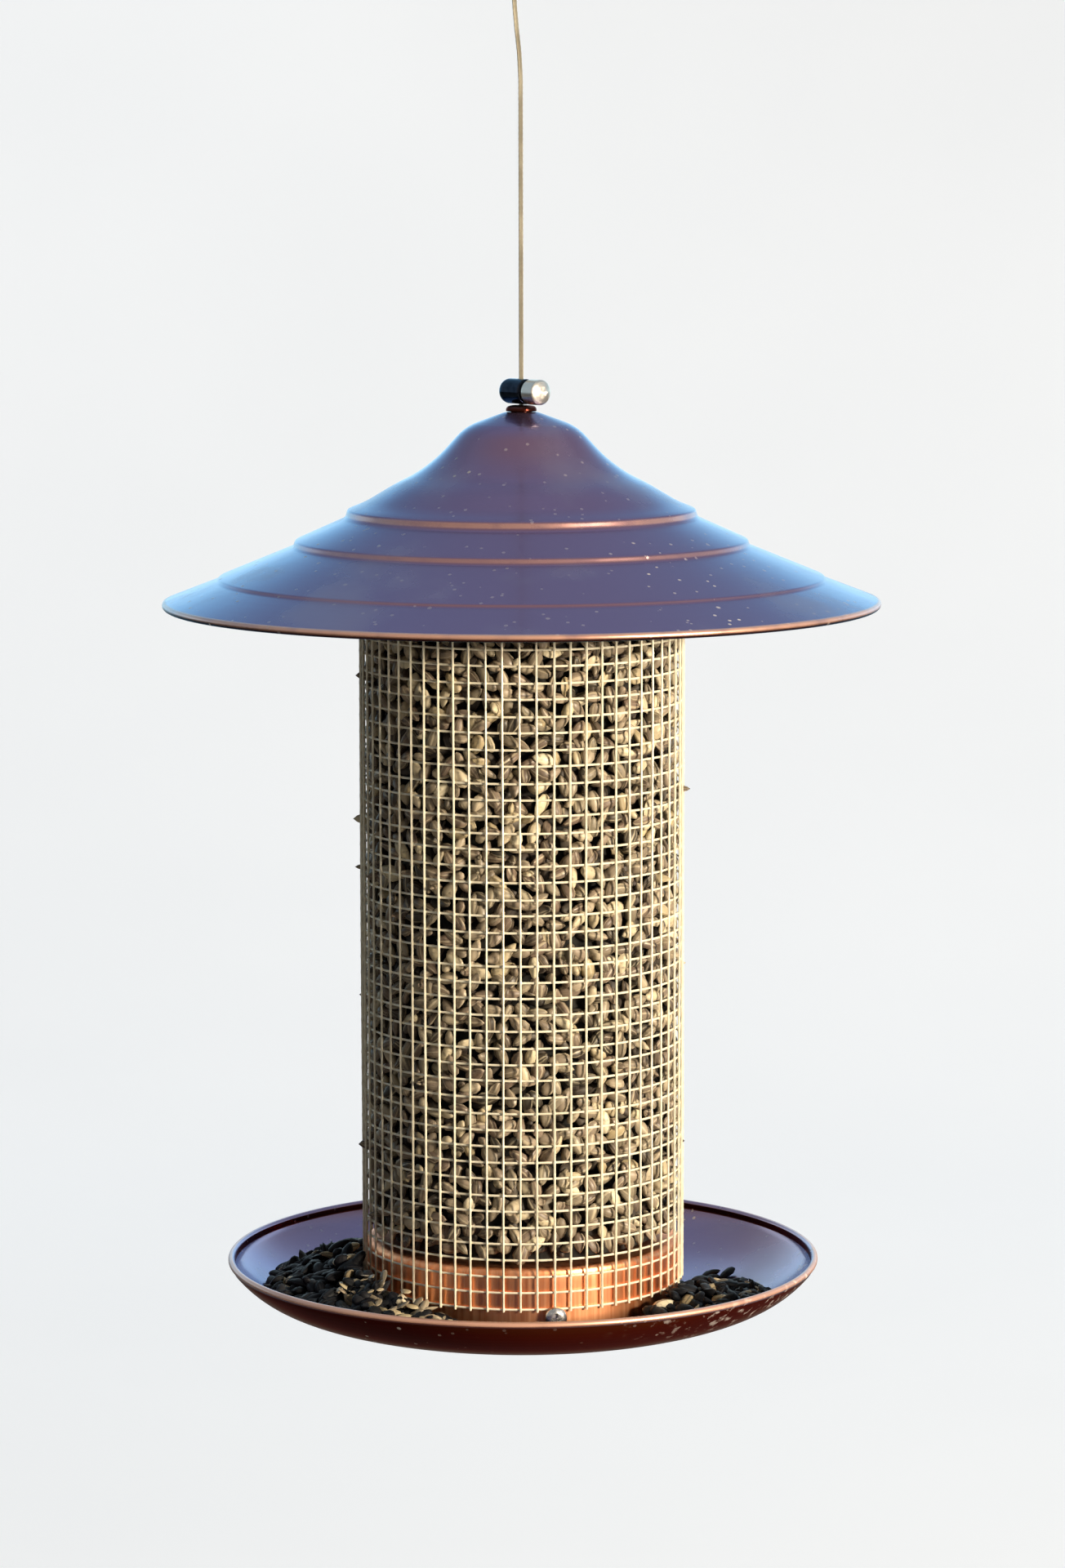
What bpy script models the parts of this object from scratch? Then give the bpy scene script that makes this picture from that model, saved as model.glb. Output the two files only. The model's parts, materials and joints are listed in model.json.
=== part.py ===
"""Hanging mesh seed feeder: a spun roof that slides on a steel cable, a tube of welded wire
cloth full of seed, a base cap, a spun tray and the cable that carries them all.

Metres, +Z up. The origin is the point inside the top loop of the cable that a hook bears on.
Everything below it is placed from the named sizes here, downwards.
"""

import math

import bmesh
import bpy
from mathutils import Matrix, Vector

GAP = 0.0003
ROUND_STEPS = 40
SMALL_STEPS = 20
SCREW_STEPS = 16
HOLE_STEPS = 12

# Cable, its loop and its two crimped sleeves
CABLE_RADIUS = 0.0009
CABLE_POINT_STEP = 0.0045
CABLE_STRAIGHT_STEP = 0.030
LOOP_SLEEVE_TOP = -0.0525
LOOP_SLEEVE_LENGTH = 0.0120
LOOP_SLEEVE_WALL = 0.0009
STANDING_LEG_X = -0.0025
TAIL_LEG_X = 0.0003
STOP_SLEEVE_RADIUS = 0.0027
STOP_SLEEVE_LENGTH = 0.0080
STOP_WASHER_RADIUS = 0.0095
STOP_WASHER_THICKNESS = 0.0015
CABLE_END_PROUD = 0.0010

# Cord lock: a barrel across the cable, a spring inside it and a push button
LOCK_DROP = 0.21835
LOCK_TURN = math.radians(40.0)
LOCK_RADIUS = 0.00485
BARREL_LENGTH = 0.0124
BARREL_END_WALL = 0.0015
BARREL_BORE_RADIUS = 0.0035
BARREL_CABLE_PLACE = 0.0088
BUTTON_LENGTH = 0.0076
BUTTON_TRAVEL = 0.0015
STEM_END_WALL = 0.0020
SPRING_WIRE_RADIUS = 0.0003
SPRING_TURNS = 3
LOCK_EDGE = 0.0008

# Ferrule at the roof's crown, with its washer and nut
FLANGE_RADIUS = 0.0059
FLANGE_THICKNESS = 0.0024
SHANK_RADIUS = 0.0039
SHANK_PROUD = 0.0010
FERRULE_CLEARANCE = 0.0004
CROWN_WASHER_THICKNESS = 0.0010
CROWN_NUT_FLATS = 0.0130
CROWN_NUT_THICKNESS = 0.0040

# Roof: bands of the spun outline from the crown's flat seat outwards, as (width, drop)
ROOF_WALL = 0.0012
CROWN_SEAT_WIDTH = 0.0020
CROWN_CONE = (0.0153, 0.0056)
NECK_SLOPE = (0.0105, 0.0116)
FLARE = (0.0085, 0.0064)
SHELF = (0.0085, 0.0042)
BROW = (0.0115, 0.0069)
UPPER_LIP = (0.0065, 0.0029)
STEP_1 = (0.0016, 0.0030)
BAND_1 = (0.0186, 0.0087)
STEP_2 = (0.0018, 0.0024)
BAND_2 = (0.0275, 0.0113)
STEP_3 = (0.0021, 0.0018)
SKIRT = (0.0181, 0.0079)
ROOF_BEAD_RADIUS = 0.0015

# Tube of wire cloth and the ring that binds its top edge
TUBE_RADIUS = 0.0631
TUBE_WALL = 0.0018
TUBE_HEIGHT = 0.3003
RING_WALL = 0.0007
RING_HEIGHT = 0.0090

# Base cap: an inverted pan inside the foot of the tube
CAP_WALL = 0.0008
CAP_INSIDE_TUBE = 0.0166
CAP_SHOULDER = 0.0030
CAP_HOLE_RADIUS = 0.0036
EYELET_FLANGE_RADIUS = 0.0056
EYELET_FLANGE_THICKNESS = 0.0008
EYELET_CLEARANCE = 0.0005

# Screws and nuts that hold the tube to the base cap
SCREW_COUNT = 3
SCREW_TURN = math.radians(11.4)
SCREW_SHANK_RADIUS = 0.0020
SCREW_LENGTH = 0.0080
SCREW_HEAD_RADIUS = 0.00425
SCREW_HEAD_HEIGHT = 0.0026
RECESS_WIDTH = 0.0010
RECESS_SPAN = 0.0044
RECESS_DEPTH = 0.0014
SCREW_NUT_FLATS = 0.0070
SCREW_NUT_THICKNESS = 0.0032

# Tray: a spun dish whose middle is pressed up over the cable's stop
TRAY_WALL = 0.0010
TRAY_BOSS_RADIUS = 0.0135
TRAY_BOSS_SIDE = 0.0060
TRAY_BOSS_RISE = 0.0130
TRAY_FLOOR_MARGIN = 0.0020
TRAY_REACH = 0.0512
TRAY_SLOPE_RISE = 0.0110
TRAY_CURL_RISE = 0.0100
TRAY_CURL_POWER = 5
TRAY_LIP_RISE = 0.0027
TRAY_BEAD_RADIUS = 0.0013
CAP_BELOW_TUBE = 0.0147

# Seed: the column in the tube and two heaps in the tray, each heap as (first bearing, last, peak)
SEED_HEADSPACE = 0.0400
SEED_DOME_RISE = 0.0120
HEAP_STEPS = 14
HEAP_TOE_REACH = 0.0340
HEAP_LEFT = (math.radians(-155.0), math.radians(-32.0), 0.0280)
HEAP_RIGHT = (math.radians(36.0), math.radians(96.0), 0.0170)


def add_steps(start, bands):
    """Outline points made by adding each (width, drop) of the bands to the point before it."""
    points = [start]
    for width, drop in bands:
        radius, height = points[-1]
        points.append((radius + width, height - drop))
    return points


def height_on(outline, radius):
    """Height of an outline, given from the axis outwards, at a radius."""
    for (r_in, z_in), (r_out, z_out) in zip(outline, outline[1:]):
        if r_in <= radius <= r_out:
            return z_in + (z_out - z_in) * (radius - r_in) / (r_out - r_in)
    raise ValueError("radius lies outside the outline")


# Places worked out from the sizes
LOCK_Z = -LOCK_DROP
FLANGE_TOP = LOCK_Z - LOCK_RADIUS - GAP
CROWN_TOP = FLANGE_TOP - FLANGE_THICKNESS - GAP
CROWN_HOLE_RADIUS = SHANK_RADIUS + GAP
FERRULE_BORE_RADIUS = CABLE_RADIUS + FERRULE_CLEARANCE
ROOF_OUTER = add_steps(
    (CROWN_HOLE_RADIUS, CROWN_TOP),
    [(CROWN_SEAT_WIDTH, 0.0), CROWN_CONE, NECK_SLOPE, FLARE, SHELF, BROW, UPPER_LIP]
    + [STEP_1, BAND_1, STEP_2, BAND_2, STEP_3, SKIRT],
)
ROOF_INNER = [(radius, height - ROOF_WALL) for radius, height in ROOF_OUTER]
CROWN_WASHER_RADIUS = CROWN_HOLE_RADIUS + CROWN_SEAT_WIDTH - GAP
CROWN_WASHER_TOP = CROWN_TOP - ROOF_WALL - GAP
CROWN_NUT_TOP = CROWN_WASHER_TOP - CROWN_WASHER_THICKNESS - GAP
SHANK_END = CROWN_NUT_TOP - CROWN_NUT_THICKNESS - SHANK_PROUD

RING_OUTER = TUBE_RADIUS + GAP + RING_WALL
RING_INNER = TUBE_RADIUS - TUBE_WALL - GAP - RING_WALL
RING_TOP = height_on(ROOF_INNER, RING_OUTER) - GAP
TUBE_TOP = RING_TOP - RING_WALL - GAP
TUBE_BOTTOM = TUBE_TOP - TUBE_HEIGHT

CAP_RADIUS = TUBE_RADIUS - TUBE_WALL - GAP
EYELET_BORE_RADIUS = CABLE_RADIUS + EYELET_CLEARANCE
CAP_TOP = TUBE_BOTTOM + CAP_INSIDE_TUBE
CAP_BOTTOM = TUBE_BOTTOM - CAP_BELOW_TUBE
SCREW_Z = TUBE_BOTTOM - SCREW_SHANK_RADIUS - GAP
SCREW_SEAT = TUBE_RADIUS + GAP
SCREW_HOLE_RADIUS = SCREW_SHANK_RADIUS + GAP
NUT_SEAT = CAP_RADIUS - CAP_WALL - 2 * GAP

TRAY_INSIDE = CAP_BOTTOM - GAP
TRAY_FLOOR = TRAY_INSIDE - TRAY_WALL
TRAY_FLOOR_RADIUS = CAP_RADIUS + TRAY_FLOOR_MARGIN
TRAY_HOLE_RADIUS = CABLE_RADIUS + 2 * GAP
TRAY_LIP_FOOT = TRAY_FLOOR + TRAY_SLOPE_RISE + TRAY_CURL_RISE
STOP_WASHER_TOP = TRAY_FLOOR + TRAY_BOSS_RISE - GAP
STOP_SLEEVE_TOP = STOP_WASHER_TOP - STOP_WASHER_THICKNESS - GAP
CABLE_END = STOP_SLEEVE_TOP - STOP_SLEEVE_LENGTH - CABLE_END_PROUD

SEED_BOTTOM = CAP_TOP + EYELET_FLANGE_THICKNESS + 2 * GAP
SEED_EDGE = TUBE_TOP - SEED_HEADSPACE
HEAP_INNER = SCREW_SEAT + SCREW_HEAD_HEIGHT + 3 * GAP

# The cable's route in the plane of its loop, as (x, z), above the straight stretch
CABLE_ROUTE = [
    (0.0000, -0.1000),
    (-0.0005, -0.0900),
    (-0.0015, -0.0800),
    (-0.0023, -0.0700),
    (STANDING_LEG_X, -0.0620),
    (STANDING_LEG_X, -0.0530),
    (-0.0040, -0.0450),
    (-0.0076, -0.0340),
    (-0.0098, -0.0220),
    (-0.0092, -0.0110),
    (-0.0056, -0.0022),
    (0.0000, 0.0009),
    (0.0056, -0.0022),
    (0.0094, -0.0110),
    (0.0096, -0.0220),
    (0.0066, -0.0340),
    (0.0020, -0.0450),
    (TAIL_LEG_X, -0.0530),
    (TAIL_LEG_X, -0.0655),
]


def clear_scene():
    for obj in list(bpy.data.objects):
        bpy.data.objects.remove(obj, do_unlink=True)


def new_collection(name):
    collection = bpy.data.collections.new(name)
    bpy.context.scene.collection.children.link(collection)
    return collection


def material(name, colour, roughness, metallic):
    made = bpy.data.materials.new(name)
    made.use_nodes = True
    shader = made.node_tree.nodes["Principled BSDF"]
    shader.inputs["Base Color"].default_value = (*colour, 1.0)
    shader.inputs["Roughness"].default_value = roughness
    shader.inputs["Metallic"].default_value = metallic
    made.diffuse_color = (*colour, 1.0)
    return made


def put(obj, collection, finish):
    """Moves an object to a collection, gives it a material and shades it smooth but for its edges."""
    for owner in list(obj.users_collection):
        owner.objects.unlink(obj)
    collection.objects.link(obj)
    obj.data.materials.clear()
    if finish:
        obj.data.materials.append(finish)
    if obj.type == "MESH" and obj.data.polygons:
        obj.data.shade_smooth()
        obj.data.set_sharp_from_angle(angle=math.radians(35.0))
    return obj


def turned(name, outline, collection, finish, steps=ROUND_STEPS, closed=True):
    """An outline of (radius, height) points, down its outer side first, turned about Z.

    A closed outline makes a ring. An open one starts and ends on the axis and makes a solid.
    """
    mesh = bpy.data.meshes.new(name)
    count = len(outline)
    edges = [(i, (i + 1) % count) for i in range(count if closed else count - 1)]
    mesh.from_pydata([(radius, 0.0, height) for radius, height in outline], edges, [])
    obj = bpy.data.objects.new(name, mesh)
    collection.objects.link(obj)
    mesh.materials.append(finish)
    screw = obj.modifiers.new("turn", "SCREW")
    screw.steps = steps
    screw.render_steps = steps
    screw.use_merge_vertices = True
    screw.merge_threshold = 0.00001
    screw.use_smooth_shade = True
    return obj


def tube_curve(name, points, radius, collection, finish):
    """A round tube along a list of points, with flat ends."""
    curve = bpy.data.curves.new(name, "CURVE")
    curve.dimensions = "3D"
    curve.bevel_depth = radius
    curve.bevel_resolution = 2
    curve.use_fill_caps = True
    spline = curve.splines.new("POLY")
    spline.points.add(len(points) - 1)
    for place, point in zip(spline.points, points):
        place.co = (*point, 1.0)
    obj = bpy.data.objects.new(name, curve)
    collection.objects.link(obj)
    curve.materials.append(finish)
    return obj


def cylinder(name, radius, length, collection, finish=None, sides=SMALL_STEPS):
    """A cylinder about Z, centred on its own origin."""
    bpy.ops.mesh.primitive_cylinder_add(vertices=sides, radius=radius, depth=length)
    obj = bpy.context.active_object
    obj.name = name
    return put(obj, collection, finish)


def box(name, size, collection, finish=None):
    """A box of the given size, centred on its own origin."""
    bpy.ops.mesh.primitive_cube_add(size=1.0)
    obj = bpy.context.active_object
    obj.name = name
    obj.data.transform(Matrix.Diagonal((*size, 1.0)))
    return put(obj, collection, finish)


def cut(target, cutter):
    """Cuts one object from another, and hides the cutter."""
    cutter.hide_render = True
    cutter.display_type = "WIRE"
    boolean = target.modifiers.new(f"cut by {cutter.name}", "BOOLEAN")
    boolean.operation = "DIFFERENCE"
    boolean.solver = "EXACT"
    boolean.object = cutter


def facing(direction, place):
    """Matrix that turns local Z to a direction, with local X level, and moves to a place."""
    along = Vector(direction).normalized()
    across = Vector((0.0, 0.0, 1.0)).cross(along).normalized()
    up = along.cross(across)
    turn = Matrix((across, up, along)).transposed().to_4x4()
    return Matrix.Translation(place) @ turn


def smooth_route(points, step):
    """Points about a step apart on a smooth curve (Catmull-Rom) through the given points."""
    places = [Vector(p) for p in points]
    ends = [2 * places[0] - places[1]] + places + [2 * places[-1] - places[-2]]
    route = []
    for a, b, c, d in zip(ends, ends[1:], ends[2:], ends[3:]):
        count = max(1, round((c - b).length / step))
        for i in range(count):
            t = i / count
            square = (2 * a - 5 * b + 4 * c - d) * t**2
            cube = (3 * b - a - 3 * c + d) * t**3
            route.append(0.5 * (2 * b + (c - a) * t + square + cube))
    route.append(places[-1])
    return route


def hexagon(name, flats, thickness, bore, collection, finish):
    """A hexagon nut about Z, centred on its own origin, with a plain bore."""
    curve = bpy.data.curves.new(name, "CURVE")
    curve.dimensions = "2D"
    curve.fill_mode = "BOTH"
    curve.extrude = thickness / 2
    corner = flats / 2 / math.cos(math.pi / 6)
    for radius, sides in ((corner, 6), (bore, SMALL_STEPS)):
        spline = curve.splines.new("POLY")
        spline.points.add(sides - 1)
        for i, point in enumerate(spline.points):
            angle = math.tau * i / sides
            point.co = (radius * math.cos(angle), radius * math.sin(angle), 0.0, 1.0)
        spline.use_cyclic_u = True
    obj = bpy.data.objects.new(name, curve)
    collection.objects.link(obj)
    curve.materials.append(finish)
    return obj


def make_cable(parts, finish):
    """The cable, its stop sleeve and washer below the tray and the sleeve that closes its loop."""
    route = [(x, 0.0, z) for x, z in CABLE_ROUTE]
    straight = CABLE_ROUTE[0][1] - CABLE_END
    count = max(1, round(straight / CABLE_STRAIGHT_STEP))
    below = [(0.0, 0.0, CABLE_END + straight * i / count) for i in range(count)]
    points = below + smooth_route(route, CABLE_POINT_STEP)
    tube_curve("hang_cable", points, CABLE_RADIUS, parts, finish["cable"])

    bore = CABLE_RADIUS + GAP
    sleeve = bpy.data.curves.new("loop_sleeve", "CURVE")
    sleeve.dimensions = "2D"
    sleeve.fill_mode = "BOTH"
    sleeve.extrude = LOOP_SLEEVE_LENGTH / 2
    half = (TAIL_LEG_X - STANDING_LEG_X) / 2
    outer = bore + LOOP_SLEEVE_WALL
    arc = [math.radians(-90 + 22.5 * i) for i in range(9)]
    oval = [(half + outer * math.cos(a), outer * math.sin(a)) for a in arc]
    oval += [(-half - outer * math.cos(a), -outer * math.sin(a)) for a in arc]
    circle = [math.tau * i / HOLE_STEPS for i in range(HOLE_STEPS)]
    holes = [[(side * half + bore * math.cos(a), bore * math.sin(a)) for a in circle] for side in (-1, 1)]
    for outline in [oval] + holes:
        spline = sleeve.splines.new("POLY")
        spline.points.add(len(outline) - 1)
        for point, (x, y) in zip(spline.points, outline):
            point.co = (x, y, 0.0, 1.0)
        spline.use_cyclic_u = True
    obj = bpy.data.objects.new("loop_sleeve", sleeve)
    parts.objects.link(obj)
    sleeve.materials.append(finish["sleeve"])
    obj.location = ((STANDING_LEG_X + TAIL_LEG_X) / 2, 0.0, LOOP_SLEEVE_TOP - LOOP_SLEEVE_LENGTH / 2)

    stop_top = STOP_SLEEVE_TOP
    stop_end = stop_top - STOP_SLEEVE_LENGTH
    crimp = STOP_SLEEVE_RADIUS
    stop = [(bore, stop_top), (crimp, stop_top), (crimp, stop_end), (bore, stop_end)]
    turned("stop_sleeve", stop, parts, finish["sleeve"], SMALL_STEPS)
    washer_end = STOP_WASHER_TOP - STOP_WASHER_THICKNESS
    washer = [
        (TRAY_HOLE_RADIUS, STOP_WASHER_TOP),
        (STOP_WASHER_RADIUS, STOP_WASHER_TOP),
        (STOP_WASHER_RADIUS, washer_end),
        (TRAY_HOLE_RADIUS, washer_end),
    ]
    turned("stop_washer", washer, parts, finish["steel"], SMALL_STEPS)


def make_lock(parts, cutters, finish):
    """Cord lock. Its own Z runs along the barrel towards the button, from the barrel's closed end."""
    along = Vector((math.sin(LOCK_TURN), -math.cos(LOCK_TURN), 0.0))
    start = Vector((0.0, 0.0, LOCK_Z)) - along * BARREL_CABLE_PLACE
    place = facing(along, start)
    edge = LOCK_EDGE
    barrel_outline = [
        (0.0, BARREL_END_WALL),
        (BARREL_BORE_RADIUS, BARREL_END_WALL),
        (BARREL_BORE_RADIUS, BARREL_LENGTH),
        (LOCK_RADIUS - edge / 2, BARREL_LENGTH),
        (LOCK_RADIUS, BARREL_LENGTH - edge / 2),
        (LOCK_RADIUS, 2 * edge),
        (LOCK_RADIUS - 0.3 * edge, edge),
        (LOCK_RADIUS - 2 * edge, 0.0),
        (0.0, 0.0),
    ]
    barrel = turned("lock_barrel", barrel_outline, parts, finish["dark_steel"], SMALL_STEPS, closed=False)
    barrel.matrix_world = place
    through = 4 * LOCK_RADIUS
    cable_hole = cylinder("cable_hole_cutter", CABLE_RADIUS + 1.2 * GAP, through, cutters, sides=HOLE_STEPS)
    cable_hole.location = (0.0, 0.0, LOCK_Z)
    cut(barrel, cable_hole)

    head_start = BARREL_LENGTH + BUTTON_TRAVEL + GAP
    head_end = head_start + BUTTON_LENGTH
    slot_start = BARREL_CABLE_PLACE - CABLE_RADIUS - GAP
    slot_end = BARREL_CABLE_PLACE + CABLE_RADIUS + GAP + BUTTON_TRAVEL
    stem_start = slot_start - STEM_END_WALL
    stem_radius = BARREL_BORE_RADIUS - GAP
    button_outline = [
        (0.0, head_end),
        (LOCK_RADIUS - edge, head_end),
        (LOCK_RADIUS, head_end - edge),
        (LOCK_RADIUS, head_start),
        (stem_radius, head_start),
        (stem_radius, stem_start),
        (0.0, stem_start),
    ]
    button = turned("lock_button", button_outline, parts, finish["steel"], SMALL_STEPS, closed=False)
    button.matrix_world = place
    slot_size = (2 * (CABLE_RADIUS + GAP), through, slot_end - slot_start)
    slot = box("button_slot_cutter", slot_size, cutters)
    slot.matrix_world = place @ Matrix.Translation((0.0, 0.0, (slot_start + slot_end) / 2))
    cut(button, slot)

    wire = SPRING_WIRE_RADIUS
    coil_radius = stem_radius - wire
    first = BARREL_END_WALL + GAP + wire
    last = stem_start - GAP - wire
    count = 14 * SPRING_TURNS
    coil = []
    for i in range(count + 1):
        angle = math.tau * SPRING_TURNS * i / count
        height = first + (last - first) * i / count
        coil.append((coil_radius * math.cos(angle), coil_radius * math.sin(angle), height))
    spring = tube_curve("lock_spring", coil, wire, parts, finish["steel"])
    spring.data.bevel_resolution = 1
    spring.matrix_world = place


def make_roof(parts, finish):
    """Spun roof with a rolled rim, the ferrule in its crown, and the ferrule's washer and nut."""
    edge_radius, edge_height = ROOF_OUTER[-1]
    bead_x = edge_radius + ROOF_BEAD_RADIUS / 3
    bead_z = edge_height - ROOF_BEAD_RADIUS * 0.55
    bead = []
    for degrees in (30, 0, -45, -90, -135, -180):
        angle = math.radians(degrees)
        across = ROOF_BEAD_RADIUS * math.cos(angle)
        bead.append((bead_x + across, bead_z + ROOF_BEAD_RADIUS * math.sin(angle)))
    outline = ROOF_OUTER + bead + ROOF_INNER[-2::-1]
    turned("roof_shell", outline, parts, finish["copper"])

    flange_end = FLANGE_TOP - FLANGE_THICKNESS
    ferrule = [
        (FERRULE_BORE_RADIUS, FLANGE_TOP),
        (FLANGE_RADIUS * 0.5, FLANGE_TOP),
        (FLANGE_RADIUS * 0.8, FLANGE_TOP - FLANGE_THICKNESS * 0.2),
        (FLANGE_RADIUS * 0.96, FLANGE_TOP - FLANGE_THICKNESS * 0.55),
        (FLANGE_RADIUS, flange_end),
        (SHANK_RADIUS, flange_end),
        (SHANK_RADIUS, SHANK_END),
        (FERRULE_BORE_RADIUS, SHANK_END),
    ]
    turned("roof_ferrule", ferrule, parts, finish["copper"], SMALL_STEPS)
    washer_end = CROWN_WASHER_TOP - CROWN_WASHER_THICKNESS
    washer = [
        (CROWN_HOLE_RADIUS, CROWN_WASHER_TOP),
        (CROWN_WASHER_RADIUS, CROWN_WASHER_TOP),
        (CROWN_WASHER_RADIUS, washer_end),
        (CROWN_HOLE_RADIUS, washer_end),
    ]
    turned("crown_washer", washer, parts, finish["steel"], SMALL_STEPS)
    flats, thickness = CROWN_NUT_FLATS, CROWN_NUT_THICKNESS
    nut = hexagon("crown_nut", flats, thickness, CROWN_HOLE_RADIUS, parts, finish["steel"])
    nut.location = (0.0, 0.0, CROWN_NUT_TOP - CROWN_NUT_THICKNESS / 2)


def make_tube(parts, finish):
    """The tube of wire cloth, as a thin wall, and the ring folded over its top edge."""
    inner = TUBE_RADIUS - TUBE_WALL
    wall = [(inner, TUBE_TOP), (TUBE_RADIUS, TUBE_TOP), (TUBE_RADIUS, TUBE_BOTTOM), (inner, TUBE_BOTTOM)]
    turned("mesh_tube", wall, parts, finish["wire"])
    foot = RING_TOP - RING_HEIGHT
    under = RING_TOP - RING_WALL
    ring = [
        (RING_INNER, RING_TOP),
        (RING_OUTER, RING_TOP),
        (RING_OUTER, foot),
        (RING_OUTER - RING_WALL, foot),
        (RING_OUTER - RING_WALL, under),
        (RING_INNER + RING_WALL, under),
        (RING_INNER + RING_WALL, foot),
        (RING_INNER, foot),
    ]
    turned("top_ring", ring, parts, finish["copper"])


def make_base(parts, cutters, finish):
    """Base cap with its eyelet, and the screws and nuts that hold the tube to it."""
    shoulder = []
    for degrees in (90, 60, 30, 0):
        angle = math.radians(degrees)
        shoulder.append(
            (
                CAP_RADIUS - CAP_SHOULDER + CAP_SHOULDER * math.cos(angle),
                CAP_TOP - CAP_SHOULDER + CAP_SHOULDER * math.sin(angle),
            )
        )
    inside = CAP_SHOULDER - CAP_WALL
    lining = []
    for degrees in (0, 45, 90):
        angle = math.radians(degrees)
        lining.append(
            (
                CAP_RADIUS - CAP_SHOULDER + inside * math.cos(angle),
                CAP_TOP - CAP_SHOULDER + inside * math.sin(angle),
            )
        )
    outline = [(CAP_HOLE_RADIUS, CAP_TOP)] + shoulder + [(CAP_RADIUS, CAP_BOTTOM)]
    outline += [(CAP_RADIUS - CAP_WALL, CAP_BOTTOM)] + lining + [(CAP_HOLE_RADIUS, CAP_TOP - CAP_WALL)]
    cap = turned("base_cap", outline, parts, finish["bright_copper"])

    neck = CAP_HOLE_RADIUS - GAP
    upper = CAP_TOP + GAP
    lower = CAP_TOP - CAP_WALL - GAP
    eyelet = [
        (EYELET_BORE_RADIUS, upper + EYELET_FLANGE_THICKNESS),
        (EYELET_FLANGE_RADIUS, upper + EYELET_FLANGE_THICKNESS),
        (EYELET_FLANGE_RADIUS, upper),
        (neck, upper),
        (neck, lower),
        (EYELET_FLANGE_RADIUS, lower),
        (EYELET_FLANGE_RADIUS, lower - EYELET_FLANGE_THICKNESS),
        (EYELET_BORE_RADIUS, lower - EYELET_FLANGE_THICKNESS),
    ]
    turned("base_eyelet", eyelet, parts, finish["steel"], SMALL_STEPS)

    head_end = SCREW_HEAD_HEIGHT
    screw_outline = [
        (0.0, head_end),
        (SCREW_HEAD_RADIUS * 0.62, head_end * 0.94),
        (SCREW_HEAD_RADIUS * 0.92, head_end * 0.66),
        (SCREW_HEAD_RADIUS, head_end * 0.30),
        (SCREW_HEAD_RADIUS, 0.0),
        (SCREW_SHANK_RADIUS, 0.0),
        (SCREW_SHANK_RADIUS, -SCREW_LENGTH),
        (0.0, -SCREW_LENGTH),
    ]
    for i in range(SCREW_COUNT):
        angle = SCREW_TURN + math.tau * i / SCREW_COUNT
        outward = Vector((math.sin(angle), -math.cos(angle), 0.0))
        seat = facing(outward, outward * SCREW_SEAT + Vector((0.0, 0.0, SCREW_Z)))
        name = f"base_screw_{i + 1}"
        screw = turned(name, screw_outline, parts, finish["steel"], SCREW_STEPS, closed=False)
        screw.matrix_world = seat
        for turn in (0.0, math.pi / 2):
            size = (RECESS_WIDTH, RECESS_SPAN, 2 * RECESS_DEPTH)
            slot = box(f"recess_cutter_{i + 1}", size, cutters)
            spot = Matrix.Translation((0.0, 0.0, head_end)) @ Matrix.Rotation(turn, 4, "Z")
            slot.matrix_world = seat @ spot
            cut(screw, slot)
        through = 4 * SCREW_LENGTH
        name = f"screw_hole_cutter_{i + 1}"
        hole = cylinder(name, SCREW_HOLE_RADIUS, through, cutters, sides=HOLE_STEPS)
        hole.matrix_world = seat
        cut(cap, hole)
        flats, thickness = SCREW_NUT_FLATS, SCREW_NUT_THICKNESS
        name = f"base_nut_{i + 1}"
        nut = hexagon(name, flats, thickness, SCREW_HOLE_RADIUS, parts, finish["steel"])
        depth = SCREW_SEAT - NUT_SEAT + thickness / 2
        nut.matrix_world = seat @ Matrix.Translation((0.0, 0.0, -depth))


def tray_outside():
    """Underside of the tray from the middle outwards: boss, floor, then a wall that slopes and curls up."""
    points = [
        (TRAY_HOLE_RADIUS, TRAY_FLOOR + TRAY_BOSS_RISE),
        (TRAY_BOSS_RADIUS, TRAY_FLOOR + TRAY_BOSS_RISE),
        (TRAY_BOSS_RADIUS + TRAY_BOSS_SIDE, TRAY_FLOOR),
        (TRAY_FLOOR_RADIUS, TRAY_FLOOR),
    ]
    for share in (0.25, 0.5, 0.68, 0.82, 0.92, 1.0):
        rise = TRAY_SLOPE_RISE * share + TRAY_CURL_RISE * share**TRAY_CURL_POWER
        points.append((TRAY_FLOOR_RADIUS + TRAY_REACH * share, TRAY_FLOOR + rise))
    return points


def make_tray(parts, finish):
    """Spun tray with an upright lip and a rolled bead."""
    outside = tray_outside()
    inside = [(radius, height + TRAY_WALL) for radius, height in outside]
    rim = TRAY_FLOOR_RADIUS + TRAY_REACH
    lip_top = TRAY_LIP_FOOT + TRAY_LIP_RISE
    bead_x = rim + TRAY_BEAD_RADIUS - TRAY_WALL
    bead = []
    for degrees in (180, 135, 90, 45, 0, -50):
        angle = math.radians(degrees)
        across = TRAY_BEAD_RADIUS * math.cos(angle)
        bead.append((bead_x + across, lip_top + TRAY_BEAD_RADIUS * math.sin(angle)))
    lining = inside[:-1] + [(rim - TRAY_WALL, inside[-1][1])]
    outline = lining + bead + outside[::-1]
    turned("tray", outline, parts, finish["copper"])


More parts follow.
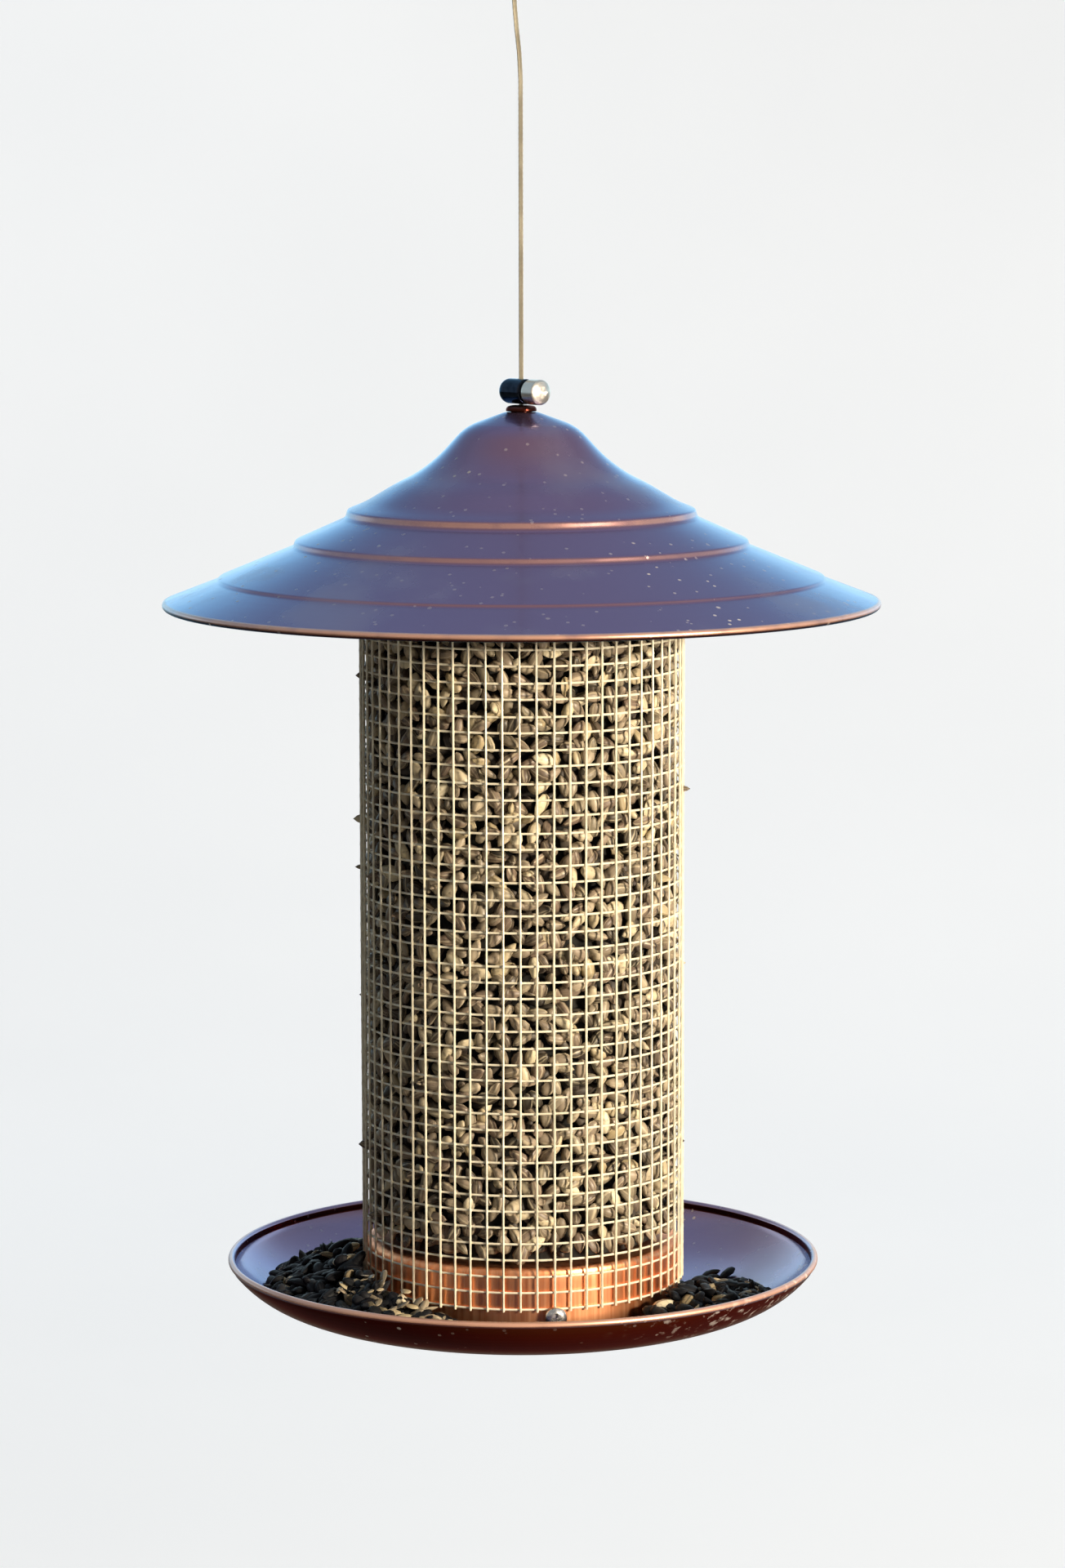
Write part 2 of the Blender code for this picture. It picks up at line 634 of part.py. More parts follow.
def make_seed(parts, finish):
    """The column of seed in the tube and the two heaps that have spilled into the tray."""
    hole = CABLE_RADIUS + 2 * GAP
    radius = CAP_RADIUS
    column = [
        (hole, SEED_EDGE + SEED_DOME_RISE),
        (radius * 0.45, SEED_EDGE + SEED_DOME_RISE * 0.62),
        (radius, SEED_EDGE),
        (radius, SEED_BOTTOM),
        (hole, SEED_BOTTOM),
    ]
    turned("seed_fill", column, parts, finish["seed"])
    make_heap("tray_seeds_left", *HEAP_LEFT, parts, finish["seed"])
    make_heap("tray_seeds_right", *HEAP_RIGHT, parts, finish["seed"])


def make_heap(name, first, last, peak, parts, finish):
    """A crescent heap against the tube, from one bearing to another, lofted from unlike sections."""
    floor = [(radius, height + TRAY_WALL + 2 * GAP) for radius, height in tray_outside()]
    mesh = bmesh.new()
    rings = []
    for i in range(HEAP_STEPS + 1):
        share = i / HEAP_STEPS
        fullness = 0.2 + 0.8 * math.sin(math.pi * share) ** 0.7
        toe = HEAP_INNER + HEAP_TOE_REACH * (0.35 + 0.65 * fullness)
        reach = toe - HEAP_INNER
        angle = first + (last - first) * share
        foot = height_on(floor, HEAP_INNER)
        radii = [HEAP_INNER + reach * k / 3 for k in range(4)]
        section = [(radius, height_on(floor, radius)) for radius in radii]
        crest = foot + peak * fullness
        toe_height = section[-1][1] + 0.0015
        for k in (1.0, 0.66, 0.33, 0.0):
            section.append((HEAP_INNER + reach * k, crest + (toe_height - crest) * k**0.8))
        rings.append([mesh.verts.new((r * math.sin(angle), -r * math.cos(angle), z)) for r, z in section])
    count = len(rings[0])
    for a, b in zip(rings, rings[1:]):
        for k in range(count):
            mesh.faces.new((a[k], a[(k + 1) % count], b[(k + 1) % count], b[k]))
    mesh.faces.new(rings[0])
    mesh.faces.new(rings[-1][::-1])
    bmesh.ops.triangulate(mesh, faces=mesh.faces)
    bmesh.ops.recalc_face_normals(mesh, faces=mesh.faces)
    data = bpy.data.meshes.new(name)
    mesh.to_mesh(data)
    mesh.free()
    obj = bpy.data.objects.new(name, data)
    put(obj, parts, finish)


def main():
    clear_scene()
    parts = new_collection("mesh_seed_feeder")
    cutters = new_collection("cutters")
    finish = {
        "cable": material("steel_cable", (0.55, 0.50, 0.42), 0.40, 0.9),
        "sleeve": material("aluminium_sleeve", (0.70, 0.70, 0.70), 0.40, 1.0),
        "steel": material("bright_steel", (0.78, 0.76, 0.72), 0.22, 1.0),
        "dark_steel": material("polished_dark_steel", (0.10, 0.11, 0.14), 0.12, 0.9),
        "copper": material("copper_bronze_coat", (0.22, 0.12, 0.13), 0.22, 0.7),
        "bright_copper": material("copper_plate", (0.62, 0.26, 0.13), 0.25, 0.9),
        "wire": material("galvanised_wire", (0.80, 0.76, 0.66), 0.35, 0.8),
        "seed": material("sunflower_seed", (0.10, 0.09, 0.08), 0.55, 0.0),
    }
    make_cable(parts, finish)
    make_lock(parts, cutters, finish)
    make_roof(parts, finish)
    make_tube(parts, finish)
    make_base(parts, cutters, finish)
    make_tray(parts, finish)
    make_seed(parts, finish)


main()
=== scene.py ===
import json
import math

import bmesh
import bpy
import numpy as np
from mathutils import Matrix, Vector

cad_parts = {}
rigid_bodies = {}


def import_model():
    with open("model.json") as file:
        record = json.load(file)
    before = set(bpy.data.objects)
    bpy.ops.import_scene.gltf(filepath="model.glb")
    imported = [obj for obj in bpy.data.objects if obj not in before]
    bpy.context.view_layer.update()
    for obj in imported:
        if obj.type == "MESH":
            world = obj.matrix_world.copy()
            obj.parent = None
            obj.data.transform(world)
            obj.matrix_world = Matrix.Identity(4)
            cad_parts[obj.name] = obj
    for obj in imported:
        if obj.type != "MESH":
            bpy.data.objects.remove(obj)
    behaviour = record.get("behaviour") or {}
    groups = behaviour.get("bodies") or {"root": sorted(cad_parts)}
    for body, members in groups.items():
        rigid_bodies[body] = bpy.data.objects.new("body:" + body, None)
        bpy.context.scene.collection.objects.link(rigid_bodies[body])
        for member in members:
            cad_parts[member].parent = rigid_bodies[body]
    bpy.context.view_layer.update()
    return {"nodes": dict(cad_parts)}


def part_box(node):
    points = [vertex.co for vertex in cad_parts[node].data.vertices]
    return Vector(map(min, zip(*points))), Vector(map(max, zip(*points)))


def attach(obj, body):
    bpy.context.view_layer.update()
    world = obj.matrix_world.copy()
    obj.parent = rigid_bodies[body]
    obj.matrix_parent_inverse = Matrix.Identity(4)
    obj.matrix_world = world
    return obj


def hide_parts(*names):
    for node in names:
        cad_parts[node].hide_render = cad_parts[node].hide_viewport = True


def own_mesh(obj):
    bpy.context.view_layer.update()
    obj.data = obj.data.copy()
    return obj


for leftover in list(bpy.data.objects):
    bpy.data.objects.remove(leftover)
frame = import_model()


def placed(name, data):
    """A new object in the scene."""
    made = bpy.data.objects.new(name, data)
    bpy.context.scene.collection.objects.link(made)
    return made


# Camera. It stands 1.85 m in front of the hanging cable, level with its bare stretch, and looks
# down a little, so that the inside of the tray shows.
camera = placed("camera", bpy.data.cameras.new("camera"))
camera.data.sensor_width = 36.0
camera.data.lens = 110.4
camera.location = (0.0045, -1.8525, -0.1242)
camera.rotation_euler = (math.radians(90.0 - 7.577), math.radians(0.1), 0.0)
bpy.context.scene.camera = camera
bpy.context.scene.view_settings.view_transform = "Standard"

# Cable. Six strands of fine steel wire are laid round a seventh in a right-hand twist, 1.8 mm
# across. It runs from its crimped stop under the tray, through seed, roof and lock, up to a loop
# at the origin, and its short tail ends in the loop's sleeve.
MM = 0.001
CABLE_RADIUS = 0.9
CABLE_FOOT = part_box("hang_cable")[0].z / MM
CABLE_ROUTE = np.array([
    (0.0, -100.0), (-0.5, -90.0), (-1.5, -80.0), (-2.3, -70.0), (-2.5, -62.0), (-2.5, -53.0),
    (-4.0, -45.0), (-7.6, -34.0), (-9.8, -22.0), (-9.2, -11.0), (-5.6, -2.2), (0.0, 0.9),
    (5.6, -2.2), (9.4, -11.0), (9.6, -22.0), (6.6, -34.0), (2.0, -45.0), (0.3, -53.0), (0.3, -65.5),
])
CABLE_STEP = 0.7
STRANDS = 6
STRAND_DEPTH = 0.11
LAY_LENGTH = 13.0
UP = np.array([0.0, 0.0, 1.0])


def out_at(bearing):
    """The level direction away from the cable at each bearing from the front to the right."""
    return np.stack([np.sin(bearing), -np.cos(bearing), 0 * bearing], axis=-1)


def round_at(bearing):
    """The level direction round the cable at each bearing."""
    return np.stack([np.cos(bearing), np.sin(bearing), 0 * bearing], axis=-1)


def at(radius, bearing, height):
    """Points at a distance from the cable's line, a bearing and a height: r out + h up."""
    return np.asarray(radius)[..., None] * out_at(bearing) + np.asarray(height)[..., None] * UP


def unit(ways):
    """The same directions, each of length 1."""
    return ways / np.linalg.norm(ways, axis=-1, keepdims=True)


def full_turn(count):
    """Equal steps of angle all the way round."""
    return np.linspace(0.0, math.tau, count, endpoint=False)


def distances(line):
    """How far each point of a line is from its start, along the line."""
    return np.concatenate([[0.0], np.cumsum(np.linalg.norm(np.diff(line, axis=0), axis=1))])


def through(places, step):
    """Points about a step apart on a smooth curve through the given places.

    Between two places the curve is the cubic that passes both, with the slope at each place
    that of the line between its neighbours.
    """
    ends = np.vstack([2 * places[:1] - places[1:2], places, 2 * places[-1:] - places[-2:-1]])
    share = np.linspace(0.0, 1.0, 24, endpoint=False)[None, :, None]
    a, b, c, d = (ends[i : len(ends) - 3 + i, None, :] for i in range(4))
    square = (2 * a - 5 * b + 4 * c - d) * share**2
    cube = (3 * b - a - 3 * c + d) * share**3
    dense = (0.5 * (2 * b + (c - a) * share + square + cube)).reshape(-1, places.shape[1])
    dense = np.vstack([dense, places[-1:]])
    along = distances(dense)
    even = np.linspace(0.0, along[-1], max(2, round(along[-1] / step) + 1))
    return np.stack([np.interp(even, along, dense[:, k]) for k in range(dense.shape[1])], axis=1)


def skin(name, points, ring=False, sharp=40.0):
    """A closed mesh piece over one or many alike grids of points in millimetres.

    A grid has rows along the piece and columns around it. Point (i, j) is joined to (i + 1, j)
    and (i, j + 1). The last column meets the first, and on a ring the last row meets the first
    too. UV is the share of the columns and of the rows. Rows that shrink to a point are welded,
    and the faces are turned outwards.
    """
    rows, columns = points.shape[-3:-1]
    grids = points.size // (rows * columns * 3)
    last = rows if ring else rows - 1
    i, j = np.meshgrid(np.arange(last), np.arange(columns), indexing="ij")
    down = np.stack([i, i, i + 1, i + 1], axis=-1).reshape(-1, 4)
    across = np.stack([j, j + 1, j + 1, j], axis=-1).reshape(-1, 4)
    faces = down % rows * columns + across % columns
    faces = (faces + np.arange(grids)[:, None, None] * rows * columns).reshape(-1, 4)
    mesh = bpy.data.meshes.new(name)
    mesh.from_pydata((points.reshape(-1, 3) * MM).tolist(), [], faces.tolist())
    shares = np.tile(np.stack([across / columns, down / last], axis=-1), (grids, 1, 1))
    mesh.uv_layers.new(name="UVMap").data.foreach_set("uv", shares.astype(np.float32).ravel())
    work = bmesh.new()
    work.from_mesh(mesh)
    bmesh.ops.remove_doubles(work, verts=work.verts, dist=0.000001)
    bmesh.ops.recalc_face_normals(work, faces=work.faces)
    work.to_mesh(mesh)
    work.free()
    mesh.shade_smooth()
    mesh.set_sharp_from_angle(angle=math.radians(sharp))
    return placed(name, mesh)


def carried(path, radii):
    """Rings of points about a path in the plane of the cable's loop, closed at both ends.

    The ring at a path point lies across the path's direction there: point + r (cos a) side
    + r (sin a) Y, with r from the table of radii, one row for each path point.
    """
    heading = unit(np.gradient(path, axis=0))
    side = np.stack([heading[:, 1], np.zeros(len(path)), -heading[:, 0]], axis=1)
    centre = np.stack([path[:, 0], np.zeros(len(path)), path[:, 1]], axis=1)
    angle = full_turn(radii.shape[1])
    swing = np.cos(angle)[None, :, None] * side[:, None, :]
    swing = swing + np.sin(angle)[None, :, None] * np.array([0.0, 1.0, 0.0])
    rings = centre[:, None, :] + radii[:, :, None] * swing
    return np.concatenate([rings[:1] * 0 + centre[0], rings, rings[:1] * 0 + centre[-1]])


class Reading:
    """A value or colour that varies over a surface: one output of a material's nodes.

    Arithmetic on readings, with a plain number on either side, adds Math nodes. Any other node
    comes from node(), with its settings and then the values or readings for its sockets.
    """

    def __init__(self, tree, socket=None):
        self.tree = tree
        self.socket = socket

    def node(self, kind, settings, inputs, output=0):
        made = self.tree.nodes.new(kind)
        for label, value in settings.items():
            if label != "stops":
                setattr(made, label, value)
        for place, (share, colour) in enumerate(settings.get("stops", ())):
            spare = made.color_ramp.elements
            stop = spare[place] if place < 2 else spare.new(share)
            stop.position = share
            stop.color = (*colour, 1.0)
        for label, value in inputs.items():
            if isinstance(value, Reading):
                self.tree.links.new(value.socket, made.inputs[label])
            else:
                made.inputs[label].default_value = value
        return Reading(self.tree, made.outputs[output])

    def maths(self, operation, *values):
        return self.node("ShaderNodeMath", {"operation": operation}, dict(enumerate(values)))

    def __add__(self, other):
        return self.maths("ADD", self, other)

    def __sub__(self, other):
        return self.maths("SUBTRACT", self, other)

    def __rsub__(self, other):
        return self.maths("SUBTRACT", other, self)

    def __mul__(self, other):
        return self.maths("MULTIPLY", self, other)

    def __pow__(self, other):
        return self.maths("POWER", self, other)

    __radd__ = __add__
    __rmul__ = __mul__

    def rise(self, low, high):
        """0 below low, 1 above high and smooth between."""
        ends = {"Value": self, "From Min": low, "From Max": high}
        return self.node("ShaderNodeMapRange", {"interpolation_type": "SMOOTHSTEP"}, ends)

    def between(self, first, second):
        """The first colour where this is 0, the second where it is 1."""
        pair = [c if isinstance(c, Reading) else (*c, 1.0) for c in (first, second)]
        sockets = {0: self, 6: pair[0], 7: pair[1]}
        return self.node("ShaderNodeMix", {"data_type": "RGBA"}, sockets, 2)

    def noise(self, scale, detail):
        """Cloudy pattern on this vector, with the given number of clouds to a metre."""
        sizes = {"Vector": self, "Scale": scale, "Detail": detail}
        return self.node("ShaderNodeTexNoise", {}, sizes)

    def line_noise(self, scale, detail=2.0):
        """Noise that varies with this one number."""
        sizes = {"W": self, "Scale": scale, "Detail": detail}
        return self.node("ShaderNodeTexNoise", {"noise_dimensions": "1D"}, sizes)

    def grains(self, scale, output="Distance"):
        """Distance from the nearest of scattered points on this vector, or each point's colour."""
        return self.node("ShaderNodeTexVoronoi", {}, {"Vector": self, "Scale": scale}, output)

    def stretched(self, x, y, z):
        """This vector with each of its parts scaled."""
        return self.node("ShaderNodeVectorMath", {"operation": "MULTIPLY"}, {0: self, 1: (x, y, z)})

    def part(self, axis):
        return self.node("ShaderNodeSeparateXYZ", {}, {0: self}, axis)


class Finish:
    """A material. What is the same all over stays on the shader; readings are linked to it."""

    def __init__(self, name, **plain):
        self.material = bpy.data.materials.new(name)
        self.material.use_nodes = True
        self.tree = self.material.node_tree
        self.shader = self.tree.nodes["Principled BSDF"]
        self.start = Reading(self.tree)
        self.set(**plain)

    def set(self, **values):
        for label, value in values.items():
            socket = self.shader.inputs[label.replace("_", " ")]
            if isinstance(value, Reading):
                self.tree.links.new(value.socket, socket)
            else:
                socket.default_value = (*value, 1.0) if isinstance(value, tuple) else value

    def where(self, output="Object"):
        """The place on the piece, in metres, or its UV."""
        return self.start.node("ShaderNodeTexCoord", {}, {}, output)

    def relief(self, height, depth):
        """Bump of a given depth in metres where the height goes from 0 to 1."""
        bump = self.start.node("ShaderNodeBump", {}, {"Height": height, "Distance": depth})
        self.set(Normal=bump)


def dress(piece, finish, slot, body, *nodes):
    """Gives a new piece its material and its body, and hides the nodes it stands for.
    The slot is not used.
    """
    piece.data.materials.clear()
    piece.data.materials.append(finish.material)
    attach(piece, body)
    if nodes:
        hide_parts(*nodes)


def refinish(finish, *nodes):
    """Gives nodes that keep their solid model's shape a new material."""
    for node in nodes:
        frame["nodes"][node].data.materials.clear()
        frame["nodes"][node].data.materials.append(finish.material)


route = np.vstack([[(0.0, CABLE_FOOT)], through(CABLE_ROUTE, CABLE_STEP)])
straight = np.arange(CABLE_FOOT, CABLE_ROUTE[0, 1], CABLE_STEP)
route = np.vstack([np.stack([0 * straight, straight], axis=1), route[1:]])
travelled = np.arange(len(route))[:, None] * CABLE_STEP
ridge = np.sin(STRANDS / 2 * (full_turn(24) - math.tau * travelled / LAY_LENGTH)) ** 2
strands = carried(route, CABLE_RADIUS * (1 - STRAND_DEPTH * ridge))
cable = skin("stranded_cable", strands, sharp=60.0)

strand_steel = Finish("strand_steel", Metallic=0.75)
place = strand_steel.where()
fine = strand_steel.where("UV").part(0) * 36 - strand_steel.where("UV").part(1) * 900
fine = fine.maths("SINE", fine * math.tau) * 0.5 + 0.5
weather = place.noise(55.0, 4.0)
dull_strand, clean_strand = (0.34, 0.30, 0.22), (0.56, 0.50, 0.38)
# Painted shade: the colour darkens in the grooves between the strands.
painted_shade_between_strands = (0.16, 0.14, 0.11)
colour = weather.rise(0.35, 0.7).between(dull_strand, clean_strand)
strand_steel.set(Base_Color=(1 - fine).rise(0.6, 1.0).between(colour, painted_shade_between_strands))
strand_steel.set(Roughness=weather * 0.25 + 0.3)
strand_steel.relief(fine, 0.00008)
dress(cable, strand_steel, "steel_cable", "root", "hang_cable")

# Crimped sleeves. Soft aluminium ferrules are squeezed on with a hand press: the oval one joins
# both legs of the loop, and the round one under the tray is the stop that carries the feeder.


def crimped(low, high, centre_x, half_width, half_depth, presses):
    """An oval sleeve: a ring of half sizes (a, b) at each height, closed at its ends.

    The press leaves dents: both half sizes shrink by up to a tenth where the cosine of the
    height, with one turn for each press, is low. The ends are rounded over.
    """
    height = np.linspace(0.0, 1.0, 15 * presses + 8)
    dent = 0.10 * (0.5 - 0.5 * np.cos(math.tau * presses * height)) ** 2
    end = np.clip(np.minimum(height, 1 - height) / 0.05, 0.0, 1.0)
    size = (1 - dent) * (0.86 + 0.14 * np.sqrt(1 - (1 - end) ** 2))
    size = np.concatenate([[0.0], size, [0.0]])
    height = np.concatenate([[0.0], height, [1.0]])
    angle = full_turn(40)
    x = centre_x + size[:, None] * half_width * np.cos(angle)
    y = size[:, None] * half_depth * np.sin(angle)
    z = np.broadcast_to((low + (high - low) * height)[:, None], x.shape)
    return np.stack([x, y, z], axis=-1)


def sleeve_piece(name, node, presses):
    low, high = (np.array(corner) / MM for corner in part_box(node))
    middle, half = (low + high) / 2, (high - low) / 2
    return skin(name, crimped(low[2], high[2], middle[0], half[0], half[1], presses))


sleeve_aluminium = Finish("sleeve_aluminium", Metallic=1.0)
place = sleeve_aluminium.where()
scuffs = place.stretched(1.0, 1.0, 0.2).noise(900.0, 4.0)
grey_sleeve, bright_sleeve = (0.50, 0.50, 0.49), (0.70, 0.69, 0.67)
sleeve_aluminium.set(Base_Color=scuffs.rise(0.3, 0.7).between(grey_sleeve, bright_sleeve))
sleeve_aluminium.set(Roughness=scuffs * 0.3 + 0.25)
sleeve_aluminium.relief(scuffs, 0.00005)
loop_sleeve = sleeve_piece("crimped_loop_sleeve", "loop_sleeve", 3)
dress(loop_sleeve, sleeve_aluminium, "aluminium_sleeve", "root", "loop_sleeve")
stop_sleeve = sleeve_piece("crimped_stop_sleeve", "stop_sleeve", 2)
dress(stop_sleeve, sleeve_aluminium, "aluminium_sleeve", "root", "stop_sleeve")

# Studio. A pale floor sweeps up into a wall, and both show from their front only. A warm soft lamp
# stands low on the right, with weak cool panels on the left and behind, in a dim room. What is
# glossy sees wall and room as pale blue.
FLOOR_DROP = -760.0
SWEEP = 1400.0
WALL_PLACE = 2400.0
STUDIO_HALF = 5200.0


def swept_floor():
    """Floor, quarter circle and wall: (y, z) = (W - R + R sin a, F + R - R cos a) in the bend."""
    bend = np.linspace(0.0, math.pi / 2, 25)
    y = np.concatenate([[-STUDIO_HALF], WALL_PLACE - SWEEP + SWEEP * np.sin(bend), [WALL_PLACE]])
    z = np.concatenate([[0.0], SWEEP - SWEEP * np.cos(bend), [STUDIO_HALF]]) + FLOOR_DROP
    x = np.broadcast_to(np.array([-STUDIO_HALF, STUDIO_HALF]), (len(y), 2))
    sheet = np.stack([x, *np.broadcast_arrays(y[:, None], z[:, None], x)[:2]], axis=-1)
    mesh = bpy.data.meshes.new("studio_floor")
    faces = np.arange(len(y) - 1)[:, None] * 2 + np.array([[0, 1, 3, 2]])
    mesh.from_pydata((sheet.reshape(-1, 3) * MM).tolist(), [], faces.tolist())
    mesh.shade_smooth()
    return mesh


floor = placed("studio_floor", swept_floor())
floor_paint = Finish("floor_paint", Roughness=0.8, Emission_Strength=1.0)
place = floor_paint.where()
clouding = place.noise(3.0, 3.0).rise(0.2, 0.8)
dark_cloud, light_cloud = (0.32, 0.325, 0.33), (0.35, 0.355, 0.36)
floor_paint.set(Base_Color=clouding.between(dark_cloud, light_cloud))
sight = floor_paint.start.node("ShaderNodeLightPath", {}, {}, "Is Camera Ray")
gloss = floor_paint.start.node("ShaderNodeLightPath", {}, {}, "Is Glossy Ray")
glow = sight.between((0.0, 0.0, 0.0), (0.60, 0.62, 0.64))
mirrored_low, mirrored_high = (0.88, 1.30, 1.50), (0.30, 0.42, 0.53)
mirrored = place.part(2).rise(-0.1, 1.4).between(mirrored_low, mirrored_high)
above_floor = place.part(2).rise(-0.75, -0.2)
floor_paint.set(Emission_Color=(gloss * above_floor).between(glow, mirrored))
from_behind = floor_paint.start.node("ShaderNodeNewGeometry", {}, {}, "Backfacing")
floor_paint.set(Alpha=1 - from_behind)
floor.data.materials.append(floor_paint.material)

world = bpy.data.worlds.new("studio")
world.use_nodes = True
bpy.context.scene.world = world
room = Reading(world.node_tree)
sight = room.node("ShaderNodeLightPath", {}, {}, "Is Camera Ray")
gloss = room.node("ShaderNodeLightPath", {}, {}, "Is Glossy Ray")
direction = room.node("ShaderNodeTexCoord", {}, {}, "Generated")
SEEN, MIRRORED, MIRRORED_BEHIND, ROOM_LIGHT = 0.86, 0.46, 0.26, 0.055
shown = MIRRORED + direction.part(1).rise(-1.0, 1.0) * MIRRORED_BEHIND
light = sight * SEEN + gloss * shown + (1 - sight - gloss) * ROOM_LIGHT
background = world.node_tree.nodes["Background"]
world.node_tree.links.new(light.socket, background.inputs["Strength"])
warm_side, blue_side = (0.95, 0.92, 0.88), (0.60, 0.81, 1.0)
sky = (gloss * direction.part(1).rise(-0.7, 0.4)).between(warm_side, blue_side)
world.node_tree.links.new(sky.socket, background.inputs["Color"])

CENTRE = np.array([0.0, 0.0, -0.42])
for name, bearing, height, distance, width, tall, watts, tint in [
    ("low_lamp", 46.0, 10.5, 2.3, 0.5, 0.22, 94.0, (1.0, 0.86, 0.66)),
    ("left_panel", -50.0, 30.0, 2.2, 1.2, 1.6, 0.8, (0.80, 0.90, 1.0)),
    ("back_left_panel", -165.0, 30.0, 2.4, 1.2, 1.4, 12.0, (0.88, 0.94, 1.0)),
    ("back_right_panel", 140.0, 30.0, 2.4, 1.2, 1.4, 12.0, (0.95, 0.97, 1.0)),
]:
    lamp = bpy.data.lights.new(name, "AREA")
    lamp.shape = "RECTANGLE"
    lamp.size = width
    lamp.size_y = tall
    lamp.energy = watts
    lamp.color = tint
    turn, lift = math.radians(bearing), math.radians(height)
    stand = placed(name, lamp)
    stand.location = CENTRE + distance * at(math.cos(lift), turn, math.sin(lift))
    stand.rotation_euler = (math.pi / 2 - lift, 0.0, turn)
    stand.visible_glossy = name == "low_lamp"

# Cord lock. A short barrel turned from dark nickelled steel lies across the cable. A bright turned
# button with a cross slot sits in it on a coil spring and grips the cable until it is pressed.
LOCK_HEIGHT = -218.35
LOCK_TURN = math.radians(40.0)
LOCK_RADIUS = 4.85
BARREL_LENGTH, BARREL_BORE, BARREL_END_WALL = 12.4, 3.5, 1.5
CABLE_IN_BARREL, CABLE_HOLE = 8.8, 1.25
BUTTON_FROM, BUTTON_TO = 14.2, 21.8
STEM_RADIUS, STEM_FROM = 3.2, 5.6
SLOT_HALF, SLOT_TRAVEL = 1.2, 1.5
SPRING_WIRE, SPRING_COIL, SPRING_TURNS = 0.3, 2.9, 3
SPRING_FROM, SPRING_TO = 2.1, 5.0


def eased(corners, reaches, ring=False, steps=7):
    """A profile through corners, each rounded over its reach on both sides.

    A corner c between points a and b of its two sides gives the parabola
    (1 - t)^2 a + 2 t (1 - t) c + t^2 b. No reach is more than 0.49 of a side.
    """
    corners = np.array(corners, float)
    reaches = np.broadcast_to(np.array(reaches, float), len(corners)).copy()
    before = np.roll(corners, 1, axis=0) - corners
    after = np.roll(corners, -1, axis=0) - corners
    short = np.minimum(np.linalg.norm(before, axis=1), np.linalg.norm(after, axis=1))
    reaches = np.minimum(reaches, 0.49 * short)
    if not ring:
        reaches[[0, -1]] = 0.0
    start, end = (corners + reaches[:, None] * unit(side) for side in (before, after))
    t = np.linspace(0.0, 1.0, steps)[None, :, None]
    curve = (1 - t) ** 2 * start[:, None] + 2 * t * (1 - t) * corners[:, None] + t**2 * end[:, None]
    flat = curve.reshape(-1, 2)
    moved = np.concatenate([[True], np.linalg.norm(np.diff(flat, axis=0), axis=1) > 0.0005])
    return flat[moved]


def finer(profile, step, ring=False):
    """The same profile with points added so that no two lie more than a step apart."""
    outline = np.vstack([profile, profile[:1]]) if ring else profile
    along = distances(outline)
    extra = np.linspace(0.0, along[-1], max(2, math.ceil(along[-1] / step) + 1))
    places = np.unique(np.concatenate([along, extra]))
    if ring:
        places = places[:-1]
    return np.stack([np.interp(places, along, outline[:, k]) for k in (0, 1)], axis=1)


def turned(profile, columns=96):
    """A profile of (radius, height) turned about Z: (r cos a, r sin a, h) at each angle a."""
    angle = full_turn(columns)
    radius, height = profile[:, :1], profile[:, 1:]
    height = np.broadcast_to(height, (len(profile), columns))
    return np.stack([radius * np.cos(angle), radius * np.sin(angle), height], axis=-1)


def spun(name, outline, step, columns):
    """A piece of sheet: the closed outline of its section, turned about Z."""
    return skin(name, turned(finer(outline, step, ring=True), columns), ring=True, sharp=50.0)


def pointed(points, bearing, middle):
    """Points about Z laid over so that Z runs level at a bearing from the front, X upwards."""
    return middle + points @ np.array([UP, round_at(bearing), out_at(bearing)])


def carve(piece, cutter):
    """Takes the cutter's space out of the piece for good."""
    tool = piece.modifiers.new("carve", "BOOLEAN")
    tool.operation = "DIFFERENCE"
    tool.solver = "EXACT"
    tool.object = cutter
    bpy.context.view_layer.update()
    shaped = piece.evaluated_get(bpy.context.evaluated_depsgraph_get())
    made = bpy.data.meshes.new_from_object(shaped)
    piece.modifiers.clear()
    piece.data = made
    bpy.data.objects.remove(cutter)
    made.shade_smooth()
    made.set_sharp_from_angle(angle=math.radians(40.0))


def pin(radius):
    """An upright rod through the lock's height, to cut holes with."""
    return turned(np.array([(0, -9.0), (radius, -9.0), (radius, 9.0), (0, 9.0)]), 32) + at_lock


at_lock = LOCK_HEIGHT * UP
lock_way = out_at(LOCK_TURN)
lock_start = at_lock - CABLE_IN_BARREL * lock_way
barrel_profile = eased(
    [
        (0, BARREL_END_WALL), (BARREL_BORE, BARREL_END_WALL), (BARREL_BORE, BARREL_LENGTH),
        (LOCK_RADIUS - 0.35, BARREL_LENGTH), (LOCK_RADIUS, BARREL_LENGTH - 0.4),
        (LOCK_RADIUS, 1.9), (4.2, 0.35), (2.6, 0), (0, 0),
    ],
    [0, 0.2, 0.15, 0.25, 0.35, 1.3, 0.9, 0.6, 0],
)
barrel_points = pointed(turned(finer(barrel_profile, 0.9)), LOCK_TURN, lock_start)
barrel = skin("lock_barrel_turned", barrel_points, sharp=50.0)
carve(barrel, skin("cable_hole", pin(CABLE_HOLE)))

# Its bluish edge tint is a painted reflection of sky.
dark_nickel = Finish("dark_nickel", Metallic=0.9, Specular_Tint=(0.6, 0.8, 1.0))
place = dark_nickel.where()
smears = place.noise(420.0, 4.0)
black_nickel, smeared_nickel = (0.012, 0.016, 0.026), (0.035, 0.042, 0.06)
dark_nickel.set(Base_Color=smears.rise(0.3, 0.75).between(black_nickel, smeared_nickel))
dark_nickel.set(Roughness=smears * 0.16 + 0.06)
dark_nickel.relief(place.noise(2600.0, 1.0), 0.000006)
dress(barrel, dark_nickel, "polished_dark_steel", "lock", "lock_barrel")

